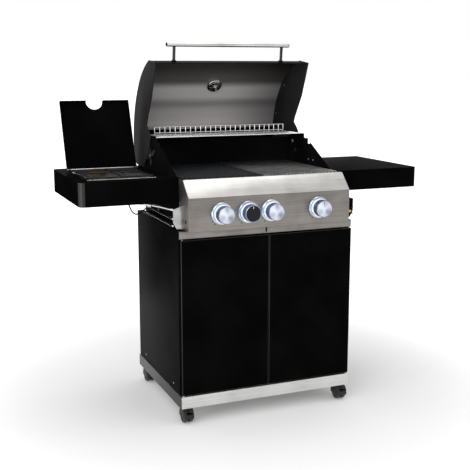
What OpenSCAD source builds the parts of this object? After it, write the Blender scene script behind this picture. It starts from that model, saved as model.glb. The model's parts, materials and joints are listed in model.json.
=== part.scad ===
// Gas barbecue on a wheeled cabinet: three burners, a side burner and a hinged hood.
// +Z is up and the front faces -Y. The origin is on the floor under the middle of the whole.

/* [Cabinet] */
// Width of the base pan
cart_w = 662; // [560:1:900]
// Depth of the base pan
cart_d = 520; // [430:1:640]
// Height of the base pan's skirt
base_h = 43; // [35:1:60]
// Height of the cabinet from the base pan to the firebox
cabinet_h = 582; // [450:1:760]
// Thickness of the folded sheet
sheet_t = 1.5; // [1:0.1:2]
// Radius of the gas bottle's seat pressed up in the base pan
bottle_r = 115; // [80:1:150]
// How far the cabinet's sides stand in from the base pan's edge
side_inset = 2; // [1:0.5:6]
// Width of the cabinet's folded flanges
flange_w = 44; // [30:1:60]
// Thickness of each door
door_t = 17; // [14:0.5:18]
// Gap around each door
door_gap = 1; // [0.5:0.1:2]
// Radius of the door pivots
door_pin_r = 3; // [2:0.1:3.6]
// Height of the steel rail above the doors
rail_h = 27; // [20:1:40]

/* [Casters] */
// Radius of each wheel
wheel_r = 26; // [22:0.5:30]
// Width of each of a caster's two wheels
wheel_w = 13; // [9:0.5:16]
// How far the axle stands off the swivel
caster_trail = 14; // [8:1:20]
// Radius of the swivel pin
kingpin_r = 5; // [3.5:0.1:7]
// Radius of the wheels' axle
axle_r = 4; // [3:0.1:6]

/* [Firebox] */
// How far the firebox stands in from the base pan's side
firebox_inset = 31; // [26:1:50]
// Height of the firebox's low front rim above the cabinet
firebox_h = 173; // [150:1:220]
// Thickness of the firebox's walls
firebox_t = 2; // [1.5:0.1:3]
// Radius of each main burner tube
burner_r = 15; // [12:0.5:20]
// Distance between main burners
burner_pitch = 183; // [150:1:200]
// Diameter of a cooking grate's bars
grate_bar_d = 7; // [5:0.5:10]
// Distance between bars of a cooking grate
grate_pitch = 14; // [12:0.5:20]
// Diameter of the warming rack's wires
rack_wire_d = 4; // [3:0.5:6]

/* [Control panel] */
// Height of the control panel's upright face
panel_h = 115; // [100:1:140]
// Place of the side burner's knob along the panel
side_knob_x = -86; // [-100:1:-80]
// Radius of each control knob
knob_r = 30; // [22:0.5:34]
// Depth of each control knob
knob_depth = 33; // [18:0.5:40]
// Radius of each valve stem
stem_r = 4; // [3:0.1:5]
// How far a knob pushes in
push_travel = 4; // [2:0.5:6]

/* [Hood] */
// Radius of the hood's round front
hood_r = 321; // [300:1:360]
// Radius of the hood's rear corner
hood_corner_r = 45; // [30:1:60]
// Angle that the hood stands open
hood_open = 83; // [60:1:85]
// Radius of the hood's hinge pins
hood_pin_r = 4; // [3:0.1:6]
// Length of the hood's handle
handle_l = 488; // [300:1:520]
// Radius of the hood's handle
handle_r = 8; // [6:0.5:12]

/* [Shelves] */
// How far a side shelf reaches past the firebox
shelf_w = 346; // [335:1:420]
// Depth of a side shelf
shelf_d = 447; // [400:1:460]
// Height of the left shelf's skirt
left_skirt = 81; // [70:1:100]
// Height of the right shelf's skirt
right_skirt = 75; // [65:1:100]
// Width of the side burner's pan
pan_w = 240; // [200:1:250]
// Depth of the side burner's pan
pan_d = 250; // [200:1:256]
// Angle that the side burner's cover stands open
cover_open = 111; // [95:1:113]
// Radius of the cover's hinge pin
cover_pin_r = 2.5; // [1.5:0.1:3.5]

/* [Hidden] */
$fn = 48;
// Radial clearance of a pin that turns in its bore
run_fit = 0.05;
// Gap between a moving piece and what it rests on
seat_gap = 0.3;
// Overrun of a cut past the faces that it opens
cut = 1;

// Levels
base_z = 59;
base_top = base_z + base_h;
bottle_rise = 2;
cab_top = base_top + cabinet_h;
rim_z = cab_top + firebox_h;
shelf_top = rim_z - 2;
rail_z = cab_top - rail_h;

// Half widths and depths, with y = 0 at the middle of the base pan
cart_x = cart_w / 2;
side_x = cart_x - side_inset;
fire_x = cart_x - firebox_inset;
fire_front = -cart_d / 2 + 55;
fire_rear = cart_d / 2 - 28.5;
side_front = -cart_d / 2 + 22;
side_rear = cart_d / 2 - 8;
rail_front = side_front - 11;

// Doors
door_back = side_front - 3;
door_front = door_back - door_t;
door_z0 = base_top + 3;
door_z1 = rail_z - 2;
door_x1 = side_x - 3;
hinge_x = door_x1 - 7;
hinge_y = door_back - 9;
hinge_len = 16;

// Casters
caster_x = cart_x - 28;
caster_front = -cart_d / 2 + 42;
caster_rear = cart_d / 2 - 28;
caster_spots = [[-1, caster_front], [1, caster_front], [-1, caster_rear], [1, caster_rear]];
plate_t = 2.5;
hub_r = 11;
hub_h = 7;
wheel_gap = 7;

// Control panel
panel_front = fire_front - 71;
panel_back = fire_front - 16;
panel_top = cab_top + panel_h;
slope_top = rim_z - 3;
panel_x = fire_x + 2.4;
plate_x = fire_x + 4;
knob_z = cab_top + 57;
knob_xs = [-burner_pitch, side_knob_x, 0, burner_pitch];
bezel_r = 39;
bezel_t = 4;
knob_back = panel_front - bezel_t - push_travel - 1;
knob_front = knob_back - knob_depth;
valve_back = fire_front - 27;
manifold_r = 9;
inlet_r = 5;
manifold_z = knob_z - 26;
manifold_y = valve_back - 12;

// Hood, given closed: [y, z] outline points
hood_front = fire_front + 9;
hood_rear = fire_rear - 14.5;
arc_z = rim_z - 60;
arc_start = rim_z + 75;
arc_y = hood_front + sqrt(pow(hood_r, 2) - pow(arc_start - arc_z, 2));
corner_y = hood_rear - hood_corner_r;
corner_z = arc_z + sqrt(pow(hood_r - hood_corner_r, 2) - pow(corner_y - arc_y, 2));
corner_turn = atan2(corner_z - arc_z, corner_y - arc_y);
front_turn = atan2(arc_start - arc_z, hood_front - arc_y);
pivot_y = hood_rear - 67;
pivot_z = rim_z + 46;
hood_low = rim_z + 121;
shell_x = fire_x + 3;
cap_t = 4;
cap_x = shell_x + cap_t;
cap_lip = 2;
handle_y = hood_front - 60;
handle_z = rim_z + 61;
post_x = handle_l / 2 - 28;

// Where the frame's origin lies, under the middle of the whole
rear_most = pivot_y + (arc_y - pivot_y) * cos(hood_open) + (arc_z - pivot_z) * sin(hood_open)
            + hood_r + cap_lip;
frame_y = -(knob_front + rear_most) / 2;

// Side shelves
shelf_x0 = fire_x + 11;
shelf_x1 = fire_x + shelf_w;
shelf_front = fire_front + 27;
shelf_rear = shelf_front + shelf_d;
ledge_z = rim_z - 19;
pan_x = -(fire_x + 184);
pan_y = shelf_front + 186;
cover_w = 258;
cover_l = 262;
cover_axis_y = shelf_front + 335;
cover_axis_z = shelf_top + 7;
cover_h = 17.5;

// Grates, rack, tray and cup
grate_z = rim_z + 1;
grate_rest = grate_z - 2 * grate_bar_d + 2;
rack_rest = rim_z + 115;
rack_z = rack_rest + seat_gap + rack_wire_d / 2;
rack_front = fire_rear - 151;
rack_rear = hood_rear - 8;
tray_floor = cab_top - 34;
tray_flange = cab_top - 11.7;
tray_x = fire_x - 42;
cup_r = 32;
cup_h = 50;
tamer_z = rim_z - 72;

// Tool rails
rail_r = 3;
rail_x = fire_x + 45;
rail_top = cab_top + 43;
rail_low = cab_top + 19;
rail_back = fire_front + 270;
bracket_y = fire_front - 27;
screw_r = 3.5;
screw_h = 1.7;

// Route of the side burner's gas pipe and of its ignition lead
pipe_r = 5;
pipe_route = [[-116, -244, 741], [-126, -244, 741], [-136, -244, 747], [-145, -243, 757], [-158, -242, 763],
              [-180, -242, 764], [-205, -241, 763], [-232, -238, 760], [-262, -229, 754], [-286, -217, 748],
              [-304, -212, 747], [-320, -204, 749], [-335, -188, 752], [-347, -167, 755], [-362, -142, 758],
              [-386, -112, 760], [-416, -80, 762], [-446, -46, 766], [-470, -16, 774],
              [-482, 2, 788], [-484, 8, 806], [-484, 8, 825]];
// The routes are given for the sizes above, and each stretch moves with the valve, wall or pan it serves
run_shift = [0, fire_front + 205, cab_top - 684];
function route_shift(x) = x > -140 ? side_knob_x + 86 : x > -220 ? 183 - burner_pitch : 300 - fire_x;
function placed(route) = [for (p = route) p + run_shift + [route_shift(p[0]), 0, 0]];
// Points of the pipe's route where it leaves the panel and where its union nut lies
pipe_exit = 10;
pipe_nut = 15;
lead_r = 2.5;
lead_boot_r = 6;
lead_route = [[-430, 60, 824], [-430, 60, 812], [-429, 62, 796], [-424, 66, 776], [-416, 72, 750],
              [-406, 79, 722], [-394, 87, 703], [-381, 95, 694], [-367, 102, 694],
              [-353, 108, 701], [-340, 111, 710], [-328, 112, 717], [-317, 112, 721], [-306, 112, 722]];

// ---- helpers ----

// A block between two opposite corners
module block(low, high) {
    translate(low) cube(high - low);
}

// Round rods along each axis, from one coordinate to another
module rod_x(x0, x1, y, z, r) {
    translate([x0, y, z]) rotate([0, 90, 0]) cylinder(h = x1 - x0, r = r);
}

module rod_y(x, y0, y1, z, r) {
    translate([x, y0, z]) rotate([-90, 0, 0]) cylinder(h = y1 - y0, r = r);
}

module rod_z(x, y, z0, z1, r) {
    translate([x, y, z0]) cylinder(h = z1 - z0, r = r);
}

// A [y, z] outline made solid along x
module plate_x(x0, x1) {
    translate([x0, 0, 0]) rotate([90, 0, 90]) linear_extrude(height = x1 - x0) children();
}

// An [x, z] outline made solid along y
module plate_y(y0, y1) {
    translate([0, y1, 0]) rotate([90, 0, 0]) linear_extrude(height = y1 - y0) children();
}

// The same piece on both sides
module both_sides() {
    children();
    mirror([1, 0, 0]) children();
}

// A rectangle with round corners, as exact arcs
module round_rect(low, high, r) {
    translate([low[0] + r, low[1]]) square([high[0] - low[0] - 2 * r, high[1] - low[1]]);
    translate([low[0], low[1] + r]) square([high[0] - low[0], high[1] - low[1] - 2 * r]);
    for (x = [low[0] + r, high[0] - r], y = [low[1] + r, high[1] - r]) translate([x, y]) circle(r);
}

// One vector of unit length
function unit(v) = v / norm(v);

// Direction of a route at its point i
function route_dir(p, i) = unit(p[min(i + 1, len(p) - 1)] - p[max(i - 1, 0)]);

// A round tube of eight sides swept along a route
module sweep(route, r) {
    sides = 8;
    last = len(route) - 1;
    rings = [for (i = [0 : last]) let (d = route_dir(route, i), ref = abs(d[1]) < 0.9 ? [0, 1, 0] : [0, 0, 1],
             u = unit(cross(ref, d)), v = cross(d, u))
             [for (k = [0 : sides - 1]) route[i] + r * (cos(k * 360 / sides) * u + sin(k * 360 / sides) * v)]];
    points = [for (ring = rings) each ring];
    walls = [for (i = [0 : last - 1], k = [0 : sides - 1])
             let (a = i * sides + k, b = i * sides + (k + 1) % sides)
             each [[a, a + sides, b + sides], [a, b + sides, b]]];
    first_end = [for (k = [0 : sides - 1]) k];
    last_end = [for (k = [sides - 1 : -1 : 0]) last * sides + k];
    polyhedron(points, concat(walls, [first_end], [last_end]));
}

// ---- cabinet ----

module cart_base() {
    color("silver") {
        difference() {
            block([-cart_x, -cart_d / 2, base_z], [cart_x, cart_d / 2, base_top]);
            block([-cart_x + sheet_t, -cart_d / 2 + sheet_t, base_z + sheet_t],
                  [cart_x - sheet_t, cart_d / 2 - sheet_t, base_top - sheet_t]);
            block([-cart_x + 62, -cart_d / 2 + 76, base_z - cut],
                  [cart_x - 62, cart_d / 2 - 62, base_z + 2 * cut]);
            for (s = caster_spots) rod_z(s[0] * caster_x, s[1], base_z - cut, base_z + 2 * cut, hub_r + 0.5);
        }
        // seat for the gas bottle
        rod_z(0, 0, base_top - sheet_t, base_top + bottle_rise, bottle_r);
    }
}

// A side panel is one sheet with its four edges folded inwards
module side_panel() {
    inner = side_x - flange_w;
    color("dimgray") difference() {
        block([inner, side_front, base_top], [side_x, side_rear, cab_top]);
        block([inner - cut, side_front + sheet_t, base_top + sheet_t],
              [side_x - sheet_t, side_rear - sheet_t, cab_top - sheet_t]);
        block([inner - cut, side_front - cut, base_top - cut], [side_x - 25, side_rear - 25, cab_top - sheet_t]);
        block([inner - cut, side_rear - 26, base_top - cut], [side_x - 25, side_rear + cut, cab_top + cut]);
    }
}

module left_side_panel() {
    mirror([1, 0, 0]) side_panel();
}

module right_side_panel() {
    side_panel();
}

// The back sheet is screwed inside the side panels' rear flanges, low enough for the tray and cup
module back_panel() {
    top = cab_top - 104;
    slot_w = 60;
    back = side_rear - sheet_t - seat_gap;
    color("dimgray") difference() {
        block([-side_x + sheet_t + 1, back - sheet_t, base_top + sheet_t + seat_gap],
              [side_x - sheet_t - 1, back, top]);
        for (row = [0 : 4], col = [-3 : 3])
            translate([col * 78, 0, base_top + 60 + row * 18]) plate_y(back - sheet_t - cut, back + cut)
                round_rect([-slot_w / 2, 0], [slot_w / 2, 6], 2.9);
    }
}

module front_rail() {
    color("silver") difference() {
        block([-side_x, rail_front, rail_z], [side_x, side_front, cab_top]);
        block([-side_x - cut, rail_front + sheet_t, rail_z + sheet_t],
              [side_x + cut, side_front + cut, cab_top - sheet_t]);
    }
}

// The doors' magnetic catch, with its tab on the rail's face
module door_catch() {
    catch_x = -8;
    color("black") {
        block([catch_x - 2.5, rail_front - 1.5, rail_z + 6], [catch_x + 2.5, rail_front, rail_z + 22]);
        block([-24, door_back + 0.6, rail_z - 12], [24, door_back + 12, rail_z]);
    }
}

// A door is a pan of folded sheet with a drilled block in each hinge corner
module door() {
    color("black") difference() {
        union() {
            difference() {
                block([door_gap, door_front, door_z0], [door_x1, door_back, door_z1]);
                block([door_gap + sheet_t, door_front + sheet_t, door_z0 + sheet_t],
                      [door_x1 - sheet_t, door_back + cut, door_z1 - sheet_t]);
            }
            for (z = [door_z0, door_z1 - hinge_len])
                block([door_x1 - 14, door_front + 0.5, z], [door_x1 - 0.5, door_back, z + hinge_len]);
            block([door_gap + 0.5, door_back - 12, door_z1 - 40], [door_gap + 24, door_back, door_z1 - 0.5]);
        }
        rod_z(hinge_x, hinge_y, door_z0 - cut, door_z1 + cut, door_pin_r + run_fit);
    }
}

module left_door() {
    mirror([1, 0, 0]) door();
}

module right_door() {
    door();
}

module door_pins() {
    color("silver") both_sides() {
        rod_z(hinge_x, hinge_y, rail_z - 13, rail_z, door_pin_r);
        rod_z(hinge_x, hinge_y, base_top, base_top + 14, door_pin_r);
        rod_z(hinge_x, hinge_y, base_top, door_z0 - seat_gap, door_pin_r + 2.5);
    }
}

// ---- casters ----

module caster_plates() {
    color("gray") for (s = caster_spots) translate([s[0] * caster_x, s[1], 0]) difference() {
        union() {
            block([-22, -22, base_z - plate_t], [22, 22, base_z]);
            rod_z(0, 0, base_z - plate_t, base_z + hub_h, hub_r);
        }
        rod_z(0, 0, 0, base_z + 2 * hub_h, kingpin_r + run_fit);
    }
}

// The swivelling hood over the wheels, with its kingpin and the kingpin's head
module caster_hood(i) {
    s = caster_spots[i];
    top = base_z - plate_t - seat_gap;
    half = wheel_gap / 2 + wheel_w + 1.5;
    cover_r = wheel_r + 3;
    color("dimgray") translate([s[0] * caster_x, s[1], 0]) difference() {
        union() {
            // kingpin and head
            rod_z(0, 0, top - 8, base_z + hub_h + 3, kingpin_r);
            rod_z(0, 0, base_z + hub_h + seat_gap, base_z + hub_h + 3, kingpin_r + 3);
            difference() {
                union() {
                    rod_x(-half, half, -caster_trail, wheel_r, cover_r);
                    rod_z(0, 0, wheel_r + 4, top, half - 3);
                }
                // room for each wheel, and everything below the axle's level
                for (side = [-1, 1]) translate([side * (wheel_gap / 2 + wheel_w / 2), 0, 0])
                    rod_x(-wheel_w / 2 - 0.8, wheel_w / 2 + 0.8, -caster_trail, wheel_r, wheel_r + 0.8);
                block([-half - cut, -caster_trail - cover_r - cut, -cover_r], [half + cut, 30, wheel_r - 7]);
                block([-half - cut, -80, top], [half + cut, 80, top + 60]);
            }
            // the web between the wheels
            rod_x(-wheel_gap / 2 + 0.8, wheel_gap / 2 - 0.8, -caster_trail, wheel_r, 9);
        }
        rod_x(-half - cut, half + cut, -caster_trail, wheel_r, axle_r + run_fit);
        if (s[1] < 0) block([-9.3, -caster_trail - cover_r - cut, wheel_r + 8],
                            [9.3, -caster_trail - wheel_r * 0.62, wheel_r + 20]);
    }
}

// Two wheels on one axle
module caster_wheels(i) {
    s = caster_spots[i];
    color("gray") translate([s[0] * caster_x, s[1] - caster_trail, wheel_r]) {
        rod_x(-wheel_gap / 2 - wheel_w, wheel_gap / 2 + wheel_w, 0, 0, axle_r);
        for (side = [-1, 1]) translate([side * (wheel_gap / 2 + wheel_w / 2), 0, 0])
            rotate([0, 90, 0]) rotate_extrude()
                polygon([[0, -wheel_w / 2], [wheel_r - 2, -wheel_w / 2], [wheel_r, -wheel_w / 2 + 2],
                         [wheel_r, wheel_w / 2 - 2], [wheel_r - 2, wheel_w / 2], [0, wheel_w / 2]]);
    }
}

// The brake pedal turns on a cross pin in a slot at the front of the hood
module brake_pedal(i) {
    s = caster_spots[i];
    color("red") translate([s[0] * caster_x, s[1] - caster_trail - wheel_r - 1, wheel_r + 14])
        rotate([-12, 0, 0]) {
            block([-9, -16, -2], [9, 3.4, 1.5]);
            rod_x(-9, 9, 0, 0, 2.5);
        }
}

// ---- firebox and what stands in it ----

// The side wall's outline in [y, z], with the slanted rim that the closed hood meets
module firebox_side() {
    polygon([[fire_front, cab_top], [fire_rear, cab_top], [fire_rear, rim_z + 93], [fire_rear - 9.5, rim_z + 93],
             [hood_rear - 3, rack_rest], [fire_rear - 153, rack_rest], [fire_rear - 153, rim_z + 100],
             [fire_rear - 186, rim_z + 100], [fire_rear - 186, rim_z + 80], [fire_rear - 206, rim_z + 80],
             [fire_rear - 206, rim_z + 86], [fire_front + 65, rim_z], [fire_front, rim_z]]);
}

module firebox() {
    inner = fire_x - firebox_t;
    low_front = rim_z - 6;
    color("black") difference() {
        union() {
            both_sides() {
                plate_x(inner, fire_x) firebox_side();
                // flange on the cabinet and channel for the tray's edge
                block([tray_x + 24, fire_front, cab_top], [fire_x, fire_rear, cab_top + sheet_t]);
                block([tray_x + 24, fire_front + 6, cab_top - 14], [tray_x + 25.5, fire_rear, cab_top + sheet_t]);
                block([tray_x + 4, fire_front + 6, cab_top - 14], [tray_x + 25.5, fire_rear, cab_top - 12.5]);
                // ledge for the grates
                block([inner - 8, fire_front, grate_rest - 2], [fire_x, fire_rear, grate_rest]);
            }
            block([-fire_x, fire_front, cab_top], [fire_x, fire_front + firebox_t, low_front]);
            block([-fire_x, fire_rear - firebox_t, cab_top], [fire_x, fire_rear, rim_z + 93]);
            // ledges for the grates and the flame tamers
            for (z = [grate_rest, tamer_z]) {
                block([-inner, fire_front, z - 2], [inner, fire_front + 12, z]);
                block([-inner, fire_rear - 12, z - 2], [inner, fire_rear, z]);
            }
        }
        for (i = [-1 : 1]) {
            rod_y(i * burner_pitch, fire_front - cut, fire_front + firebox_t + cut, knob_z, burner_r + seat_gap);
            rod_y(i * burner_pitch, fire_rear - firebox_t - cut, fire_rear + cut, knob_z, 4.3);
        }
        rod_x(-fire_x - cut, fire_x + cut, pivot_y, pivot_z, hood_pin_r);
    }
}

module main_burners() {
    front = valve_back + 4;
    back = fire_rear - 22;
    color("silver") for (i = [-1 : 1]) translate([i * burner_pitch, 0, 0]) difference() {
        union() {
            rod_y(0, front, back, knob_z, burner_r);
            rod_y(0, back, fire_rear + 3, knob_z, 4);
        }
        rod_y(0, front - cut, back - 2, knob_z, burner_r - 1);
        for (n = [0 : 16]) for (side = [-1, 1])
            translate([side * 6, fire_front + 60 + n * 20, knob_z + 6]) cylinder(h = burner_r, r = 1.5);
    }
}

module flame_tamers() {
    half = 46;
    color("dimgray") for (i = [-1 : 1]) translate([i * burner_pitch, 0, 0])
        plate_y(fire_front + firebox_t + 1.5, fire_rear - firebox_t - 1.5)
            polygon([[-half, tamer_z], [-half + 3, tamer_z], [0, tamer_z + 25], [half - 3, tamer_z], [half, tamer_z],
                     [half, tamer_z + 1.6], [0, tamer_z + 27.5], [-half, tamer_z + 1.6]]);
}

// A welded grate: bars from front to back on three cross bars
module cooking_grate(side) {
    r = grate_bar_d / 2;
    x_in = 1.5;
    x_out = fire_x - firebox_t - 2;
    front = fire_front + firebox_t + 2;
    back = fire_rear - firebox_t - 2;
    bars = floor((x_out - x_in - grate_bar_d) / grate_pitch);
    start = (x_in + x_out - bars * grate_pitch) / 2;
    color("dimgray") {
        for (n = [0 : bars]) rod_y(side * (start + n * grate_pitch), front, back, grate_z - r, r);
        for (y = [front + 7, (front + back) / 2, back - 7])
            translate([side * (x_in + x_out) / 2, 0, 0])
                rod_x(-(x_out - x_in) / 2, (x_out - x_in) / 2, y, grate_rest + seat_gap + r, r);
    }
}

module cooking_grate_left() {
    cooking_grate(-1);
}

module cooking_grate_right() {
    cooking_grate(1);
}

// The raised rack: a wire frame across the firebox with a low fence along its back
module warming_rack() {
    r = rack_wire_d / 2;
    z = rack_z;
    fence_x = fire_x - 30;
    fence_top = z + 29;
    $fn = 8;
    color("silver") {
        for (y = [rack_front + r, rack_rear - r]) rod_x(-fire_x, fire_x, y, z, r);
        both_sides() rod_y(fire_x - 12, rack_front, rack_rear, z, r);
        for (n = [0 : 11]) rod_x(-fire_x + 12, fire_x - 12, rack_front + 10 + n * 9.6, z, r * 0.7);
        for (x = [-180, -60, 60, 180]) rod_y(x, rack_front, rack_rear, z - r, r * 0.8);
        rod_x(-fence_x, fence_x, rack_rear - r, fence_top, r);
        rod_x(-fence_x, fence_x, rack_rear - r, z + 7, r);
        for (n = [-13 : 13]) rod_z(n * fence_x / 13 * 0.995, rack_rear - r, z, fence_top, r * 0.9);
    }
}

module drip_tray() {
    front = fire_front + 12;
    back = fire_rear + 20;
    t = 1.2;
    color("silver") difference() {
        union() {
            difference() {
                block([-tray_x - t, front - t, tray_floor - t], [tray_x + t, back, tray_flange]);
                block([-tray_x, front, tray_floor], [tray_x, back - t, tray_flange + cut]);
            }
            both_sides() block([tray_x, front, tray_flange - 0.5], [tray_x + 21, back, tray_flange + 0.7]);
            // rear face and its folded pull
            block([-fire_x + 12, back - t, tray_floor - t], [fire_x - 12, back, cab_top - 6]);
            block([-90, back - t, cab_top - 20], [90, back + 16, cab_top - 18.5]);
        }
        rod_z(0, 20, tray_floor - 3, tray_floor + 3, 9);
    }
}

module grease_cup() {
    top = tray_floor - 1.2 - seat_gap;
    color("silver") translate([0, 20, 0]) difference() {
        union() {
            rod_z(0, 0, top - cup_h, top - 2, cup_r);
            rod_z(0, 0, top - 3.2, top - 2, cup_r + 5);
        }
        rod_z(0, 0, top - cup_h + 1.2, top + cut, cup_r - 1.2);
    }
    // two hanger ears reach up to the tray's floor
    color("silver") for (side = [-1, 1])
        block([side * (cup_r + 3) - 1.5, 14, top - 3], [side * (cup_r + 3) + 1.5, 26, top + seat_gap]);
}

// ---- gas and controls ----

// The supply pipe that carries the four valves, with its closed end and its hose tail
module manifold() {
    tail = plate_x + 24;
    hex_end = panel_x - 0.5;
    color("goldenrod") difference() {
        union() {
            rod_x(-burner_pitch - 26, hex_end - 10, manifold_y, manifold_z, manifold_r);
            rod_x(hex_end - 12, hex_end, manifold_y, manifold_z, manifold_r + 2);
            rod_x(hex_end, tail, manifold_y, manifold_z, inlet_r);
        }
        rod_x(-burner_pitch - 20, tail + cut, manifold_y, manifold_z, 3);
    }
}

module gas_valves() {
    face = panel_front + sheet_t;
    color("goldenrod") for (x = knob_xs) translate([x, 0, 0]) difference() {
        union() {
            block([-15, face, knob_z - 15], [15, face + 3, knob_z + 15]);
            rod_y(0, face, valve_back, knob_z, 12);
            block([-8, manifold_y - 5, manifold_z + manifold_r - 1.5], [8, manifold_y + 5, knob_z]);
            rod_y(0, valve_back - cut, valve_back + 9, knob_z, 4);
            if (x == side_knob_x) rod_x(-30, 0, manifold_y, knob_z, 7);
        }
        rod_y(0, face - cut, face + 22, knob_z, stem_r + run_fit);
        rod_x(-20, 20, manifold_y, manifold_z, manifold_r);
    }
}

// The steel fascia: an upright face and a sloping top, folded from one sheet
module panel_outline() {
    polygon([[panel_front, cab_top], [panel_front, panel_top], [panel_back, slope_top],
             [fire_front - seat_gap, slope_top], [fire_front - seat_gap, slope_top - sheet_t],
             [panel_back + 0.9, slope_top - sheet_t], [panel_front + sheet_t, panel_top - 0.9],
             [panel_front + sheet_t, cab_top + sheet_t], [rail_front + 4, cab_top + sheet_t],
             [rail_front + 4, cab_top]]);
}

module control_panel() {
    color("silver") difference() {
        plate_x(-panel_x, panel_x) panel_outline();
        for (x = knob_xs) rod_y(x, panel_front - cut, panel_front + 3 * cut, knob_z, stem_r + 2);
    }
}

module panel_end_plates() {
    rear = shelf_front - 0.5;
    exit_spot = placed(pipe_route)[pipe_exit];
    color("gray") both_sides() difference() {
        plate_x(panel_x + 0.1, plate_x)
            polygon([[panel_front, cab_top], [panel_front, panel_top], [panel_back, slope_top], [rear, slope_top],
                     [rear, cab_top]]);
        rod_x(panel_x - cut, plate_x + cut, manifold_y, manifold_z, inlet_r + 1);
        rod_x(panel_x - cut, plate_x + cut, exit_spot[1], exit_spot[2], pipe_r + 2);
    }
}

module knob_bezels() {
    color("silver") for (x = knob_xs) translate([x, panel_front, knob_z]) rotate([90, 0, 0])
        rotate_extrude() polygon([[stem_r + 2, 0], [bezel_r, 0], [bezel_r, bezel_t - 3],
                                  [bezel_r - 3, bezel_t], [stem_r + 2, bezel_t]]);
}

// A stem slides in its valve and carries its knob on its front end
module valve_stem(i) {
    color("gray") {
        rod_y(knob_xs[i], knob_front + 6, panel_front + sheet_t + 14, knob_z, stem_r);
        rod_y(knob_xs[i], knob_back + 0.4, knob_back + 2, knob_z, stem_r + 1.6);
    }
}

module knob(i) {
    color(i == 1 ? "black" : "silver") translate([knob_xs[i], knob_back, knob_z]) rotate([90, 0, 0]) difference() {
        rotate_extrude() polygon([[0, 0], [knob_r - 1, 0], [knob_r, 1], [knob_r, knob_depth - 2],
                                  [knob_r - 2, knob_depth], [0, knob_depth]]);
        translate([0, 0, -cut]) cylinder(h = knob_depth - 5 + cut, r = stem_r + run_fit);
    }
}

// ---- hood, drawn closed and then turned open about its hinge ----

module opened(y, z, angle) {
    translate([0, y, z]) rotate([-angle, 0, 0]) translate([0, -y, -z]) children();
}

// The hood's outer line, moved in by a distance, filled down to its lower edge
module hood_fill(in) {
    r = hood_r - in;
    rc = hood_corner_r - in;
    arc_points = [for (n = [0 : 40]) let (a = front_turn + (corner_turn - front_turn) * n / 40)
                  [arc_y + r * cos(a), arc_z + r * sin(a)]];
    corner_points = [for (n = [1 : 12]) let (a = corner_turn * (1 - n / 12))
                     [corner_y + rc * cos(a), corner_z + rc * sin(a)]];
    polygon(concat([[hood_front + in, rim_z + 1]], arc_points, corner_points, [[hood_rear - in, hood_low]]));
}

// The band between two such lines, open along the hood's mouth
module hood_band(out, in) {
    difference() {
        hood_fill(out);
        hood_fill(in);
        polygon([[hood_front + in, rim_z - 9], [hood_front + in, rim_z + 60],
                 [hood_rear - in, hood_low + 20], [hood_rear - in, hood_low - 30]]);
    }
}

module hood_shell() {
    color("silver") opened(pivot_y, pivot_z, hood_open) difference() {
        plate_x(-shell_x, shell_x) hood_band(0, sheet_t);
        translate([0, arc_y, arc_z]) rotate([37, 0, 0]) rod_z(0, 0, hood_r - 12, hood_r + 12, 4);
    }
}

// An end cap follows the hood's outline, with a lobe towards the hinge
module cap_outline() {
    difference() {
        hood_fill(-cap_lip);
        polygon([[hood_front - 9, rim_z - 20], [hood_front - 9, rim_z + 0.9], [fire_front + 65, rim_z + 0.9],
                 [fire_front + 65 + 165, rim_z + 87], [fire_front + 65 + 185, rim_z + 93],
                 [pivot_y - 80, rim_z + 55], [pivot_y - 67, rim_z + 46], [pivot_y - 27, rim_z + 54],
                 [pivot_y + 3, rim_z + 71], [pivot_y + 32, rim_z + 96], [pivot_y + 56, hood_low],
                 [hood_rear + 9, hood_low], [hood_rear + 9, rim_z - 20]]);
    }
    polygon([[fire_front + 65 + 185, rim_z + 93], [pivot_y - 80, rim_z + 55], [pivot_y - 67, rim_z + 46],
             [pivot_y - 27, rim_z + 54], [pivot_y + 3, rim_z + 71], [pivot_y + 32, rim_z + 96],
             [pivot_y + 56, hood_low], [pivot_y + 40, rim_z + 150]]);
}

module hood_caps() {
    color("dimgray") opened(pivot_y, pivot_z, hood_open) both_sides() {
        plate_x(shell_x, cap_x) cap_outline();
        // rim inside the shell
        plate_x(shell_x - 12, shell_x + 0.5) difference() {
            hood_band(sheet_t, sheet_t + 2.5);
            translate([hood_front - 9, rim_z - 20]) square([24, 24]);
            translate([hood_rear - 20, hood_low - 20]) square([40, 24]);
        }
        // hinge arm down to the pin
        difference() {
            plate_x(fire_x + 1.7, shell_x + 0.5) polygon([[pivot_y - 11, pivot_z - 5], [pivot_y - 5, pivot_z - 11],
                [pivot_y + 5, pivot_z - 11], [pivot_y + 11, pivot_z - 5], [pivot_y + 24, pivot_z + 52],
                [pivot_y - 36, pivot_z + 34], [pivot_y - 36, pivot_z + 12]]);
            rod_x(fire_x, cap_x + cut, pivot_y, pivot_z, hood_pin_r + run_fit);
        }
    }
}

module hood_handle() {
    color("silver") opened(pivot_y, pivot_z, hood_open) {
        rod_x(-handle_l / 2, handle_l / 2, handle_y, handle_z, handle_r);
        both_sides() rod_x(handle_l / 2, handle_l / 2 + 3, handle_y, handle_z, handle_r - 1);
    }
}

module handle_posts() {
    color("silver") opened(pivot_y, pivot_z, hood_open) both_sides() difference() {
        union() {
            rod_y(post_x, handle_y, hood_front, handle_z, 5.5);
            rod_y(post_x, hood_front - 4, hood_front, handle_z, 9);
        }
        rod_x(post_x - 20, post_x + 20, handle_y, handle_z, handle_r);
    }
}

// The gauge sits on the hood's round front, with its stem and nut inside
module thermometer() {
    color("silver") opened(pivot_y, pivot_z, hood_open) translate([0, arc_y, arc_z]) rotate([37, 0, 0]) {
        rod_z(0, 0, hood_r + 0.5, hood_r + 12, 30);
        rod_z(0, 0, hood_r - 32, hood_r + 1, 3.5);
        rod_z(0, 0, hood_r - sheet_t - 7, hood_r - sheet_t - 0.5, 10);
    }
}

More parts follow.
